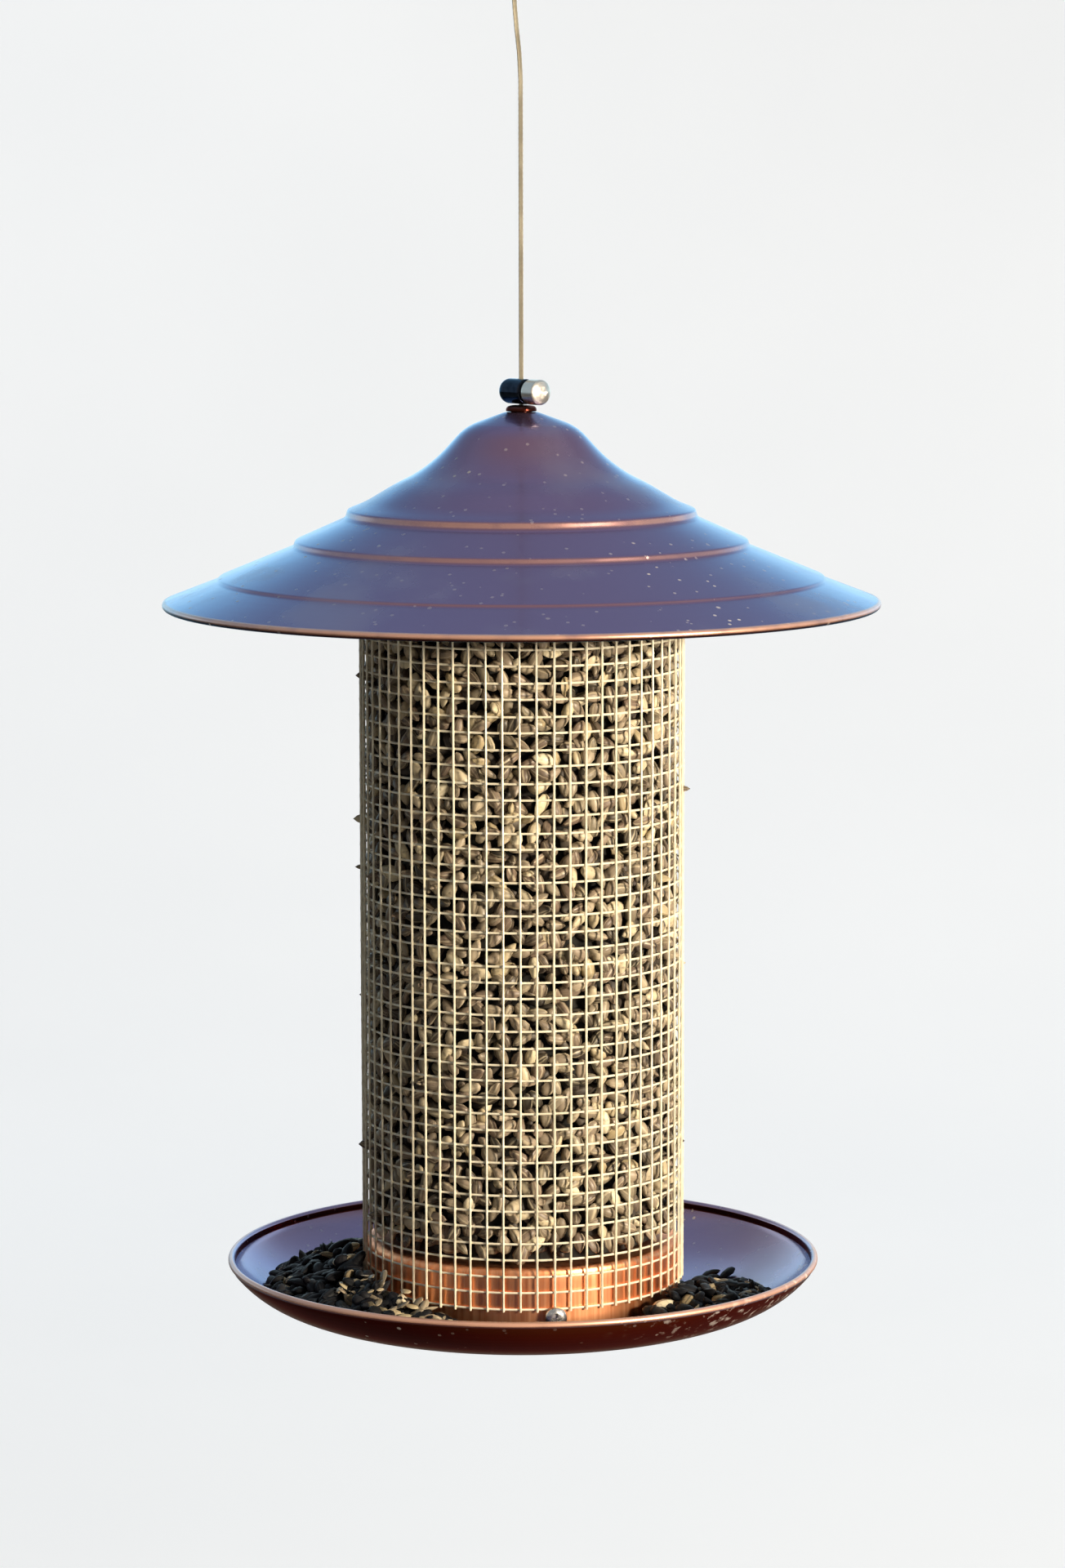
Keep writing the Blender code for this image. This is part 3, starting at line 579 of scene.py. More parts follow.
button_profile = eased(
    [
        (0, BUTTON_TO), (2.0, BUTTON_TO - 0.05), (4.2, BUTTON_TO - 0.8),
        (LOCK_RADIUS, BUTTON_TO - 1.4), (LOCK_RADIUS, BUTTON_FROM),
        (STEM_RADIUS, BUTTON_FROM), (STEM_RADIUS, STEM_FROM), (0, STEM_FROM),
    ],
    [0, 0.9, 0.4, 0.3, 0.5, 0.2, 0.3, 0],
)
button_points = pointed(turned(finer(button_profile, 0.8)), LOCK_TURN, lock_start)
button = skin("lock_button_turned", button_points, sharp=50.0)
slot = pin(SLOT_HALF)
towards_button = ((slot - at_lock) @ lock_way > 0)[..., None]
carve(button, skin("button_slot", slot + towards_button * SLOT_TRAVEL * lock_way))

turned_steel = Finish("turned_steel", Metallic=1.0)
place = turned_steel.where()
to_axis = turned_steel.start.node(
    "ShaderNodeVectorMath", {"operation": "SUBTRACT"}, {0: place, 1: tuple(lock_start * MM)}
)
sideways = to_axis.node(
    "ShaderNodeVectorMath", {"operation": "CROSS_PRODUCT"}, {0: to_axis, 1: tuple(lock_way)}
)
off_axis = sideways.node("ShaderNodeVectorMath", {"operation": "LENGTH"}, {0: sideways}, "Value")
tool_marks = off_axis.line_noise(9000.0)
dull_steel, bright_steel = (0.66, 0.60, 0.52), (0.86, 0.81, 0.73)
turned_steel.set(Base_Color=tool_marks.rise(0.2, 0.8).between(dull_steel, bright_steel))
turned_steel.set(Roughness=tool_marks * 0.16 + 0.20)
turned_steel.relief(tool_marks, 0.00005)
dress(button, turned_steel, "bright_steel", "button", "lock_button")


def plated_steel(name, low, high, scale):
    """Bright plated steel, dulled in patches. Its colours go from low to high."""
    finish = Finish(name, Metallic=1.0)
    patches = finish.where().noise(scale, 4.0)
    finish.set(Base_Color=patches.rise(0.3, 0.72).between(low, high))
    finish.set(Roughness=patches * 0.3 + 0.12)
    finish.relief(finish.where().noise(scale * 4, 2.0), 0.00003)
    return finish


def coiled():
    """Spring wire: ((c + w cos a) cos t, (c + w cos a) sin t, h + w sin a), with t rising as h."""
    turn = np.linspace(0.0, math.tau * SPRING_TURNS, 24 * SPRING_TURNS + 1)[:, None]
    wire = np.concatenate([[[0.0]], np.full_like(turn, SPRING_WIRE), [[0.0]]])
    turn = np.concatenate([turn[:1], turn, turn[-1:]])
    angle = full_turn(10)
    height = SPRING_FROM + (SPRING_TO - SPRING_FROM) * turn / turn[-1]
    out, height = SPRING_COIL + wire * np.cos(angle), height + wire * np.sin(angle)
    return np.stack([out * np.cos(turn), out * np.sin(turn), height], axis=-1)


spring_steel = plated_steel(
    "spring_steel", low=(0.40, 0.39, 0.38), high=(0.66, 0.65, 0.62), scale=700.0
)
spring = skin("button_spring", pointed(coiled(), LOCK_TURN, lock_start))
dress(spring, spring_steel, "bright_steel", "lock", "lock_spring")
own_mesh(spring)

# Ferrule. A flanged copper-coated bush in the roof's crown keeps the cable from chafing. A washer
# and a nut under the crown clamp it, and keep their solid model's shape.
ferrule_low, ferrule_high = (np.array(corner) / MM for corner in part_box("roof_ferrule"))
FERRULE_TOP, FERRULE_END = ferrule_high[2], ferrule_low[2]
FLANGE_RADIUS, FLANGE_DEPTH = ferrule_high[0], 2.4
FERRULE_BORE, FERRULE_NECK = 1.3, 3.9
flange_end = FERRULE_TOP - FLANGE_DEPTH
ferrule_profile = eased(
    [
        (FERRULE_BORE, FERRULE_TOP), (0.5 * FLANGE_RADIUS, FERRULE_TOP),
        (0.85 * FLANGE_RADIUS, FERRULE_TOP - 0.4), (FLANGE_RADIUS, FERRULE_TOP - 1.2),
        (FLANGE_RADIUS, flange_end), (FERRULE_NECK, flange_end),
        (FERRULE_NECK, FERRULE_END), (FERRULE_BORE, FERRULE_END),
    ],
    [0.4, 0.8, 1.0, 0.7, 0.3, 0.2, 0.3, 0.3], ring=True,
)
ferrule = skin("crown_ferrule", turned(ferrule_profile), ring=True, sharp=50.0)


def from_axis(place):
    """Distance of a place from the cable's axis."""
    x, y = place.part(0), place.part(1)
    return (x * x + y * y) ** 0.5


def beside(reading, middle, reach):
    """1 where the reading is at the middle, falling to 0 at the reach on either side."""
    away = reading - middle
    return 1 - away.maths("ABSOLUTE", away).rise(0.2 * reach, reach)


def specks(place, scale, size):
    """Scattered round specks: 1 inside a speck. Half of the scattered points have one."""
    chosen = place.grains(scale, "Color").part(0).rise(0.45, 0.5)
    return chosen * (1 - place.grains(scale).rise(size * 0.5, size))


BARE_COPPER_HIGHLIGHT = (0.82, 0.45, 0.32)
DUST = (0.50, 0.46, 0.50)
DRIED_DROP = (0.72, 0.69, 0.66)


def copper_coat(name, level, steep, under, edge, worn_highlit_bends=(), dirt=0.0, coat=0.3, splashed_and_lit=(0.0, 0.0)):
    """Glossy metallic copper-bronze coat over spun steel.

    It is cooler on level faces, redder on steep ones and deepest underneath: the cool level colour
    is a painted reflection of sky, and the deep under colour is painted shade. It takes the edge
    tint where it is seen along the surface, and a bluish edge tint is a painted reflection of sky.
    It is paler towards the given side, the lamp's side at the right front, as painted light. At
    each bend in its list, given as a radius, a reach in millimetres and a strength, it has a
    painted highlight line in bare copper, partly where the coat wears, but not where the bend faces
    down.
    Dust lies on what faces up, with dried drops as thick as the dirt, and more of them where
    splashes land, on the same side. The relief is the spinning tool's rings, the drops and a fine
    orange peel.
    """
    finish = Finish(name, Specular_Tint=edge, Coat_Roughness=0.09, Coat_IOR=1.5)
    place = finish.where()
    radius = from_axis(place)
    slope = finish.start.node("ShaderNodeNewGeometry", {}, {}, "Normal").part(2)
    cloud = place.noise(16.0, 3.0)
    # Painted reflection and shade: the level colour stands for sky reflected in faces that look up,
    # and the under colour is painted shade on faces that look down.
    colour = (slope + (cloud - 0.5) * 0.3).rise(0.60, 0.96).between(steep, level)
    colour = slope.rise(-0.15, 0.35).between(under, colour)
    sideways = place.part(0) * splashed_and_lit[0] + place.part(1) * splashed_and_lit[1]
    # Painted light: the colour pales towards the lamp's side at the right front.
    painted_lit_side = (1.7 * level[0], 1.35 * level[1], 0.85 * level[2])
    colour = (sideways.rise(0.02, 0.10) * 0.8).between(colour, painted_lit_side)
    patchy = (place.noise(90.0, 3.0).rise(0.2, 0.6) * 0.4 + 0.6) * slope.rise(-0.55, 0.05)
    roughness = place.noise(60.0, 3.0) * 0.10 + 0.17
    # Painted highlight lines on the bends and beads, in bare copper partly where the coat wears;
    # they are also less metallic, so that the lamp lights them.
    wear_and_highlight = 0.0
    for bend, reach, strength in worn_highlit_bends:
        bend_wear_and_highlight = beside(radius, bend * MM, reach * MM) * patchy * strength
        colour = bend_wear_and_highlight.between(colour, BARE_COPPER_HIGHLIGHT)
        roughness = roughness + bend_wear_and_highlight * 0.12
        wear_and_highlight = wear_and_highlight + bend_wear_and_highlight
    dust = slope.rise(0.25, 0.9) * place.noise(24.0, 5.0).rise(0.50, 0.72) * 0.20
    drops = specks(place, 210.0, 0.19) + specks(place, 95.0, 0.11)
    drops = drops * (place.noise(14.0, 2.0).rise(0.50, 0.62) * 0.7 + dirt)
    splashes = place.noise(260.0, 4.0).rise(0.55, 0.68) * 0.8
    drops = drops + sideways.rise(0.085, 0.115) * splashes
    drops = drops.maths("MINIMUM", drops, 1.0)
    colour = (drops * 0.8).between(dust.between(colour, DUST), DRIED_DROP)
    finish.set(Base_Color=colour, Roughness=dust * 0.7 + drops * 0.4 + roughness)
    finish.set(Metallic=0.88 - drops * 0.7 - wear_and_highlight * 0.2, Coat_Weight=slope.rise(-0.6, 0.5) * coat)
    finish.relief(radius.line_noise(420.0) + place.noise(700.0, 1.0) * 0.3 + drops * 2.0, 0.00002)
    return finish


# Its very dark colours are dark copper, darkened further as painted shade from the lock above it.
ferrule_coat_painted_shade = copper_coat(
    "ferrule_coat_painted_shade", level=(0.07, 0.018, 0.012), steep=(0.05, 0.010, 0.006),
    under=(0.04, 0.009, 0.005), edge=(0.5, 0.25, 0.2), coat=0.1,
)
dress(ferrule, ferrule_coat_painted_shade, "copper_bronze_coat", "roof", "roof_ferrule")
zinc = plated_steel("zinc_plate", low=(0.34, 0.34, 0.33), high=(0.62, 0.61, 0.58), scale=260.0)
refinish(zinc, "crown_washer", "crown_nut", "stop_washer")

# Roof. One disc of thin steel spun over a former into a bell with three stepped bands, its edge
# rolled into a wire-like bead, then coated copper-bronze. It slides up the cable for filling.
ROOF_CORNERS = [
    (4.2, -226.2), (6.2, -226.2), (21.5, -231.8), (32.0, -243.4), (40.5, -249.8), (49.0, -254.0),
    (60.5, -260.9), (67.2, -263.6), (67.9, -266.7), (87.4, -275.4), (88.1, -277.7),
    (116.9, -289.5), (117.6, -290.7), (136.7, -298.9),
]
ROOF_REACHES = [0, 1.2, 5.0, 5.2, 4.2, 4.0, 3.0, 0.8, 1.7, 0.7, 1.4, 0.5, 1.0, 0]
ROOF_WALL = 1.2
ROOF_BEAD = 1.5
BEAD_MIDDLE = np.array([137.2, -299.725])
roll = np.radians(np.linspace(42.0, -185.0, 22))
bead = BEAD_MIDDLE + ROOF_BEAD * np.stack([np.cos(roll), np.sin(roll)], axis=1)
roof_top = eased(ROOF_CORNERS, ROOF_REACHES)
roof_inside = (roof_top - (0.0, ROOF_WALL))[::-1]
roof_inside = roof_inside[roof_inside[:, 0] < BEAD_MIDDLE[0] - 3.2]
roof_profile = np.vstack([roof_top[:-1], bead, roof_inside])
roof = spun("spun_roof", roof_profile, 3.0, 160)
# The mauve level colour and blue edge tint are painted reflections of sky, the dark under colour is
# painted shade, and the bends and bead carry painted highlight lines.
roof_coat = copper_coat(
    "roof_coat", level=(0.265, 0.155, 0.27), steep=(0.28, 0.155, 0.235),
    under=(0.06, 0.012, 0.007), edge=(0.30, 0.68, 1.0), dirt=0.3,
    worn_highlit_bends=[(67.5, 0.5, 0.55), (87.7, 0.5, 0.36), (117.2, 0.3, 0.10), (138.2, 1.3, 1.0)],
)
dress(roof, roof_coat, "copper_bronze_coat", "roof", "roof_shell")

# Tube. Welded wire cloth of 0.9 mm galvanised wire is rolled into a tube: 61 upright wires
# outside 48 round ones, welded at every crossing, with the uprights' cut ends below.
UPRIGHTS = 61
FIRST_UPRIGHT = math.radians(-42.0)
WIRE_RADIUS = 0.45
UPRIGHT_CIRCLE = 62.6
ROUND_CIRCLE = 61.85
PITCH = 6.318
LOWEST_ROUND = -564.5
ROUNDS = 48
WELD_SWELL, WELD_HALF = 0.08, 0.7
WANDER, WANDER_LENGTH = 0.12, 37.0
WIRE_SIDES = np.radians([0, 60, 120, 180, 240, 300])
chance = np.random.default_rng(11)
bearings = FIRST_UPRIGHT + math.tau * np.arange(UPRIGHTS) / UPRIGHTS


def wire_uprights():
    """Straight wires: at each height the ring r (cos a, sin a) about the wire's own line.

    r swells a little in the weld's bead at each crossing. The line wanders by about a tenth of a
    millimetre, as a slow sine of the height.
    """
    part = np.array([-0.16, 0.0, 0.16, 0.5])
    height = LOWEST_ROUND + PITCH * (np.arange(ROUNDS)[:, None] + part).ravel()[:-1]
    height = np.concatenate([[LOWEST_ROUND - WIRE_RADIUS - 0.3], height])
    off = (height - LOWEST_ROUND) / PITCH
    swell = WELD_SWELL * np.exp(-(((off - np.round(off)) * PITCH / WELD_HALF) ** 2))
    start = chance.uniform(0, math.tau, UPRIGHTS)[:, None]
    wander = WANDER * np.sin(height / WANDER_LENGTH + start)
    bearing = bearings[:, None] + wander / UPRIGHT_CIRCLE
    bearing = bearing + chance.normal(0, 0.0018, UPRIGHTS)[:, None]
    out = UPRIGHT_CIRCLE + 0.5 * wander
    thick = np.concatenate([[0.0], WIRE_RADIUS + swell, [0.0]])
    padded = [0, *range(len(height)), len(height) - 1]
    height, bearing, out = height[padded], bearing[:, padded], out[:, padded]
    radial = out[..., None] + thick[None, :, None] * np.cos(WIRE_SIDES)
    sideways = thick[None, :, None] * np.sin(WIRE_SIDES)
    bearing = bearing[..., None]
    return at(radial, bearing, height[:, None]) + sideways[..., None] * round_at(bearing)


def wire_rounds():
    """Round wires: rings of 0.45 mm about circles, each circle a little out of true."""
    bearing = full_turn(2 * UPRIGHTS)[None, :, None] + FIRST_UPRIGHT
    level = LOWEST_ROUND + PITCH * np.arange(ROUNDS)[:, None, None]
    start = chance.uniform(0, math.tau, ROUNDS)[:, None, None]
    out = ROUND_CIRCLE + 0.10 * np.sin(2 * bearing + start)
    tilt = 0.15 * np.sin(bearing + start) + chance.normal(0, 0.06, ROUNDS)[:, None, None]
    height = level + tilt + WIRE_RADIUS * np.sin(WIRE_SIDES)
    return at(out + WIRE_RADIUS * np.cos(WIRE_SIDES), bearing, height)


galvanised = Finish("galvanised_wire", Metallic=0.1, Specular_IOR_Level=0.7)
place = galvanised.where()
spangle = place.noise(380.0, 4.0)
stain = place.noise(36.0, 4.0).rise(0.58, 0.75) * spangle.rise(0.4, 0.6)
# The cream colours are pale weathered zinc, brightened and warmed as painted light.
dull_zinc_warm_lit, light_zinc_warm_lit, brown_stain = (0.82, 0.75, 0.58), (0.96, 0.91, 0.74), (0.34, 0.25, 0.15)
warm_lit_zinc_colour = spangle.rise(0.3, 0.7).between(dull_zinc_warm_lit, light_zinc_warm_lit)
galvanised.set(Base_Color=(stain * 0.6).between(warm_lit_zinc_colour, brown_stain))
galvanised.set(Roughness=spangle * 0.25 + 0.26)
galvanised.relief(spangle, 0.00004)
dress(skin("cloth_uprights", wire_uprights()), galvanised, "galvanised_wire", "root", "mesh_tube")
dress(skin("cloth_rounds", wire_rounds(), ring=True), galvanised, "galvanised_wire", "root")

# Top ring. A strip of the roof's sheet folded over the cloth's upper edge binds its cut ends, and
# the roof's underside rests on it.
ring_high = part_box("top_ring")[1] / MM
RING_OUTER, RING_TOP = ring_high.x, ring_high.z
RING_WALL, RING_FOLD, RING_HEIGHT = 0.7, 3.8, 9.0
ring_inner, ring_foot = RING_OUTER - RING_FOLD, RING_TOP - RING_HEIGHT
under_fold = RING_TOP - RING_WALL
ring_corners = [
    (ring_inner, RING_TOP), (RING_OUTER, RING_TOP), (RING_OUTER, ring_foot),
    (RING_OUTER - RING_WALL, ring_foot), (RING_OUTER - RING_WALL, under_fold),
    (ring_inner + RING_WALL, under_fold), (ring_inner + RING_WALL, ring_foot),
    (ring_inner, ring_foot),
]
ring_points = turned(eased(ring_corners, 0.6, ring=True), 128)
top_ring = skin("folded_top_ring", ring_points, ring=True, sharp=50.0)
ring_coat = copper_coat(
    "ring_coat", level=(0.20, 0.10, 0.09), steep=(0.17, 0.07, 0.055),
    under=(0.12, 0.04, 0.03), edge=(1.0, 0.7, 0.6), dirt=0.1,
)
dress(top_ring, ring_coat, "copper_bronze_coat", "root", "top_ring")

# Seed in the tube. Black-oil sunflower seed, 7 to 12 mm long, is packed against the cloth at every
# angle, with a second layer in the gaps, a low dome on top and a few seeds poking out.
SEED_FOOT, SEED_EDGE, SEED_CROWN = -547.0, -305.0, -294.0
CLOTH_INSIDE = 61.3
SEED_RINGS = np.array([0.07, 0.28, 0.58, 0.85])
SEED_SIDES = 8


def husks(centres, facing, tilt, length, plumpness):
    """Points of many seeds, each a lens-shaped tube along its own length.

    At the share t of the length the seed is sqrt(t) (1 - t)^0.8 wide, so it is blunt at one end
    and drawn to a tip at the other. Across, (|cos|, |sin|) to the power 1.2 gives it its two
    edges. It lies with its flat side along 'facing', tilted and turned at random.
    """
    count = len(centres)
    angle = full_turn(SEED_SIDES)
    girth = (np.sqrt(SEED_RINGS) * (1 - SEED_RINGS) ** 0.8 / 0.42)[:, None] / 2
    circle = np.stack([np.cos(angle), np.sin(angle)])[:, None]
    across, through_it = girth * np.sign(circle) * np.abs(circle) ** 1.2
    shell = np.stack(np.broadcast_arrays(SEED_RINGS[:, None] - 0.5, across, through_it), axis=-1)
    shell = np.vstack([shell.reshape(-1, 3), [(-0.5, 0.0, 0.0), (0.5, 0.0, 0.0)]])
    long = np.clip(chance.normal(length, 0.08 * length, count), 0.75 * length, 1.2 * length)
    wide = long * chance.uniform(0.50, 0.63, count)
    thick = long * plumpness * chance.uniform(0.85, 1.15, count)
    flat = unit(facing + tilt * chance.normal(0, 1, (count, 3)))
    side = unit(np.cross(flat, chance.normal(0, 1, (count, 3))))
    axes = np.stack([np.cross(side, flat), side, flat], axis=1)
    sizes = np.stack([long, wide, thick], axis=1)
    return (shell[None] * sizes[:, None, :]) @ axes + centres[:, None, :]


def settle_inside(points, reach):
    """Moves each seed along its own bearing until its farthest point is at its reach."""
    outward = unit(points.mean(axis=1)[:, :2])
    farthest = (points[:, :, :2] * outward[:, None, :]).sum(axis=-1).max(axis=1)
    points[:, :, :2] += ((reach - farthest)[:, None] * outward)[:, None, :]
    return points


def seed_piece(name, points, pale):
    """Puts seeds into one mesh, with rings of quads and a fan at each tip.

    Each seed has a random shade number, and the pale share of them gets the highest ones. Its
    points also carry a number that counts round it, for the stripes along the husk.
    """
    count, corners = points.shape[:2]
    k, j = np.meshgrid(np.arange(len(SEED_RINGS) - 1), np.arange(SEED_SIDES), indexing="ij")
    after = (j + 1) % SEED_SIDES
    here, above = k * SEED_SIDES, (k + 1) * SEED_SIDES
    quads = np.stack([here + j, above + j, above + after, here + after], axis=-1)
    j = np.arange(SEED_SIDES)
    after = (j + 1) % SEED_SIDES
    top = (len(SEED_RINGS) - 1) * SEED_SIDES
    blunt = np.stack([0 * j + corners - 2, j, after], axis=-1)
    tip = np.stack([0 * j + corners - 1, top + after, top + j], axis=-1)
    start = np.arange(count)[:, None, None] * corners
    quads = (quads.reshape(-1, 4) + start).reshape(-1, 4)
    fans = (np.vstack([blunt, tip]) + start).reshape(-1, 3)
    mesh = bpy.data.meshes.new(name)
    mesh.from_pydata((points.reshape(-1, 3) * MM).tolist(), [], quads.tolist() + fans.tolist())
    shade = chance.uniform(0, 1 - pale, count)
    is_pale = chance.uniform(0, 1, count) < pale
    shade = np.where(is_pale, 1.0 - 0.5 * pale * chance.uniform(0, 1, count), shade)
    round_it = np.append(np.tile(np.arange(SEED_SIDES), len(SEED_RINGS)), [0, 0])
    streak = np.tile(round_it, count) + np.repeat(shade * 97, corners)
    for label, values in [("husk", np.repeat(shade, corners)), ("streak", streak)]:
        numbers = mesh.attributes.new(label, "FLOAT", "POINT")
        numbers.data.foreach_set("value", values.astype(np.float32))
    mesh.shade_smooth()
    mesh.set_sharp_from_angle(angle=math.radians(70.0))
    return placed(name, mesh)


def on_wall(radius, cell):
    """Places on the column's wall, one in each cell of a staggered grid, moved at random in it."""
    around = round(math.tau * radius / cell)
    levels = round((SEED_EDGE - SEED_FOOT) / cell)
    i, j = np.meshgrid(np.arange(levels), np.arange(around), indexing="ij")
    shift = chance.uniform(-0.35, 0.35, (2, levels, around))
    bearing = (math.tau * (j + 0.5 * (i % 2) + shift[0]) / around).ravel()
    share = ((i + 0.5 + shift[1]) / levels).ravel()
    height = SEED_FOOT + 3.0 + share * (SEED_EDGE - SEED_FOOT - 3.0)
    return at(radius, bearing, height), out_at(bearing)


def husk_finish(name, darkest, middling, stripe_colour, sheen, gloss=0.4):
    """Striped black husk: a ramp over each seed's own shade, pale kernels at its end."""
    finish = Finish(name, Specular_IOR_Level=gloss)
    husk = finish.start.node("ShaderNodeAttribute", {"attribute_name": "husk"}, {}, "Fac")
    streak = finish.start.node("ShaderNodeAttribute", {"attribute_name": "streak"}, {}, "Fac")
    stripe = streak.line_noise(1.3, 1.0)
    mottle = finish.where().noise(520.0, 3.0)
    red, green, blue = middling
    colour = husk.node("ShaderNodeValToRGB", {"stops": [
        (0.0, darkest), (0.30, (0.8 * red, 0.68 * green, 0.72 * blue)), (0.55, middling),
        (0.75, (1.2 * red, 1.1 * green, 1.16 * blue)), (0.90, stripe_colour),
        (0.955, (0.42, 0.33, 0.19)), (0.98, (0.66, 0.56, 0.36)), (1.0, (0.78, 0.70, 0.52)),
    ]}, {0: husk})
    colour = (stripe.rise(0.50, 0.72) * 0.6).between(colour, stripe_colour)
    finish.set(Base_Color=(mottle.rise(0.52, 0.75) * 0.5).between(colour, darkest))
    finish.set(Roughness=mottle * 0.3 + sheen)
    finish.relief(stripe * 0.5 + mottle, 0.00012)
    return finish


# This husk is the black seed brightened to a warm grey-brown: painted light. The shaded husk is its
# copy in painted shade.
painted_lit_husk = husk_finish(
    "painted_lit_husk", darkest=(0.045, 0.038, 0.027), middling=(0.255, 0.215, 0.150),
    stripe_colour=(0.64, 0.55, 0.38), sheen=0.26,
)
shaded_husk = husk_finish(
    "shaded_husk", darkest=(0.02, 0.016, 0.012), middling=(0.055, 0.045, 0.034),
    stripe_colour=(0.12, 0.10, 0.075), sheen=0.42,
)
centres, facing = on_wall(radius=58.7, cell=5.7)
outer_seeds = husks(centres, facing, tilt=0.5, length=9.0, plumpness=0.38)
settled_at = CLOTH_INSIDE - np.abs(chance.normal(0, 0.9, len(outer_seeds)))
outer_seeds = seed_piece("seed_by_cloth", settle_inside(outer_seeds, settled_at), pale=0.035)
dress(outer_seeds, painted_lit_husk, "sunflower_seed", "root", "seed_fill")

DOME_SEEDS, DOME_RADIUS, CABLE_ROOM = 240, 57.0, 7.0
centres, facing = on_wall(radius=55.0, cell=7.6)
order = np.arange(DOME_SEEDS)
spiral = DOME_RADIUS * np.sqrt((order + 0.5) / DOME_SEEDS)
turn = order * math.pi * (3 - math.sqrt(5))
dome_height = SEED_CROWN - (SEED_CROWN - SEED_EDGE - 2.0) * (spiral / DOME_RADIUS) ** 1.6
dome = np.stack([spiral * np.cos(turn), spiral * np.sin(turn), dome_height], axis=1)
centres = np.vstack([centres, dome])
facing = np.vstack([facing, np.tile(UP, (DOME_SEEDS, 1))])
clear = np.linalg.norm(centres[:, :2], axis=1) > CABLE_ROOM
inner_seeds = husks(centres[clear], facing[clear], tilt=0.5, length=9.6, plumpness=0.38)
dress(seed_piece("seed_behind", inner_seeds, pale=0.03), shaded_husk, "sunflower_seed", "root")

POKING, POKING_FROM, POKING_REACH = 72, 57.8, 3.4
bearing = bearings[chance.integers(0, UPRIGHTS, POKING)] + math.pi / UPRIGHTS
level = LOWEST_ROUND + PITCH * (chance.integers(4, ROUNDS - 9, POKING) + 0.5)
centres = at(POKING_FROM + chance.uniform(0.0, POKING_REACH, POKING), bearing, level)
outward = out_at(bearing)
flat = round_at(bearing) * chance.normal(0, 1, (POKING, 1)) + UP * chance.normal(0, 1, (POKING, 1))
flat = unit(flat)
poking = husks(0 * centres, flat, tilt=0.0, length=8.8, plumpness=0.36)
own_length = unit(poking[:, -1] - poking[:, -2])
own_axes = np.stack([own_length, np.cross(flat, own_length), flat], axis=2)
turned_out = np.stack([outward, np.cross(flat, outward), flat], axis=1)
poking = poking @ own_axes @ turned_out + centres[:, None]
dress(seed_piece("seed_poking_out", poking, pale=0.10), painted_lit_husk, "sunflower_seed", "root")

seed_dark = Finish("seed_in_shade", Roughness=0.9)
grain = seed_dark.where().grains(150.0)
seed_brown, gap_black = (0.022, 0.019, 0.015), (0.004, 0.004, 0.003)
seed_dark.set(Base_Color=grain.rise(0.1, 0.6).between(seed_brown, gap_black))
seed_dark.relief(grain, 0.002)
CORE_RADIUS, CORE_FOOT, CORE_TOP = 52.5, SEED_FOOT - 0.2, SEED_CROWN - 5.0
core_corners = [
    (0, CORE_FOOT), (CORE_RADIUS, CORE_FOOT), (CORE_RADIUS, CORE_TOP - 12.0),
    (30.0, CORE_TOP - 2.0), (0, CORE_TOP),
]
core = skin("seed_core", turned(finer(np.array(core_corners), 6.0), 64))
dress(core, seed_dark, "sunflower_seed", "root")

# Base cap. A shallow pan of copper-coated steel stands upside down in the foot of the tube; the
# cloth is screwed to its skirt, which shows through the wires as a bright band.
cap_low, cap_high = (np.array(corner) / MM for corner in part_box("base_cap"))
CAP_RADIUS, CAP_TOP, CAP_FOOT = cap_high[0], cap_high[2], cap_low[2]
CAP_WALL, CAP_HOLE = 0.8, 3.6
cap_inner = CAP_RADIUS - CAP_WALL
cap_corners = [
    (CAP_HOLE, CAP_TOP), (CAP_RADIUS, CAP_TOP), (CAP_RADIUS, CAP_FOOT), (cap_inner, CAP_FOOT),
    (cap_inner, CAP_TOP - CAP_WALL), (CAP_HOLE, CAP_TOP - CAP_WALL),
]
cap_profile = eased(cap_corners, [0.2, 3.0, 0.3, 0.3, 2.2, 0.2], ring=True)
cap = spun("copper_base_cap", cap_profile, 3.0, 144)
copper_plate = Finish("copper_plate", Metallic=1.0)
place = copper_plate.where()
brushed = place.stretched(1.0, 1.0, 0.04).noise(700.0, 3.0)
tarnish = place.noise(38.0, 4.0).rise(0.45, 0.8)
deep_copper, bright_copper, tarnished = (0.86, 0.31, 0.13), (1.0, 0.50, 0.26), (0.42, 0.14, 0.07)
plate_colour = brushed.rise(0.25, 0.75).between(deep_copper, bright_copper)
copper_plate.set(Base_Color=(tarnish * 0.5).between(plate_colour, tarnished))
copper_plate.set(Roughness=brushed * 0.14 + tarnish * 0.08 + 0.30)
copper_plate.relief(brushed, 0.00003)
dress(cap, copper_plate, "copper_plate", "root", "base_cap")
refinish(zinc, "base_eyelet", "base_nut_1", "base_nut_2", "base_nut_3")

# Base screws. Three plated M4 pan-head screws with a cross recess go through the foot of the
# cloth and the cap's skirt into nuts; each head bears on the lowest round wire.
SCREW_TURN = math.radians(11.4)
SCREW_HEIGHT = -567.6
SCREW_SEAT = 63.4
SCREW_SHANK, SCREW_LENGTH = 2.0, 8.0
HEAD_RADIUS, HEAD_HEIGHT = 4.25, 2.6
RECESS_DEPTH, RECESS_ARM, RECESS_HALF = 1.5, 2.2, 0.5
head_profile = eased(
    [
        (0, HEAD_HEIGHT), (2.6, HEAD_HEIGHT), (HEAD_RADIUS, 1.5), (HEAD_RADIUS, 0),
        (SCREW_SHANK, 0), (SCREW_SHANK, -SCREW_LENGTH), (0, -SCREW_LENGTH),
    ],
    [0, 1.3, 0.7, 0.25, 0.1, 0.4, 0],
)


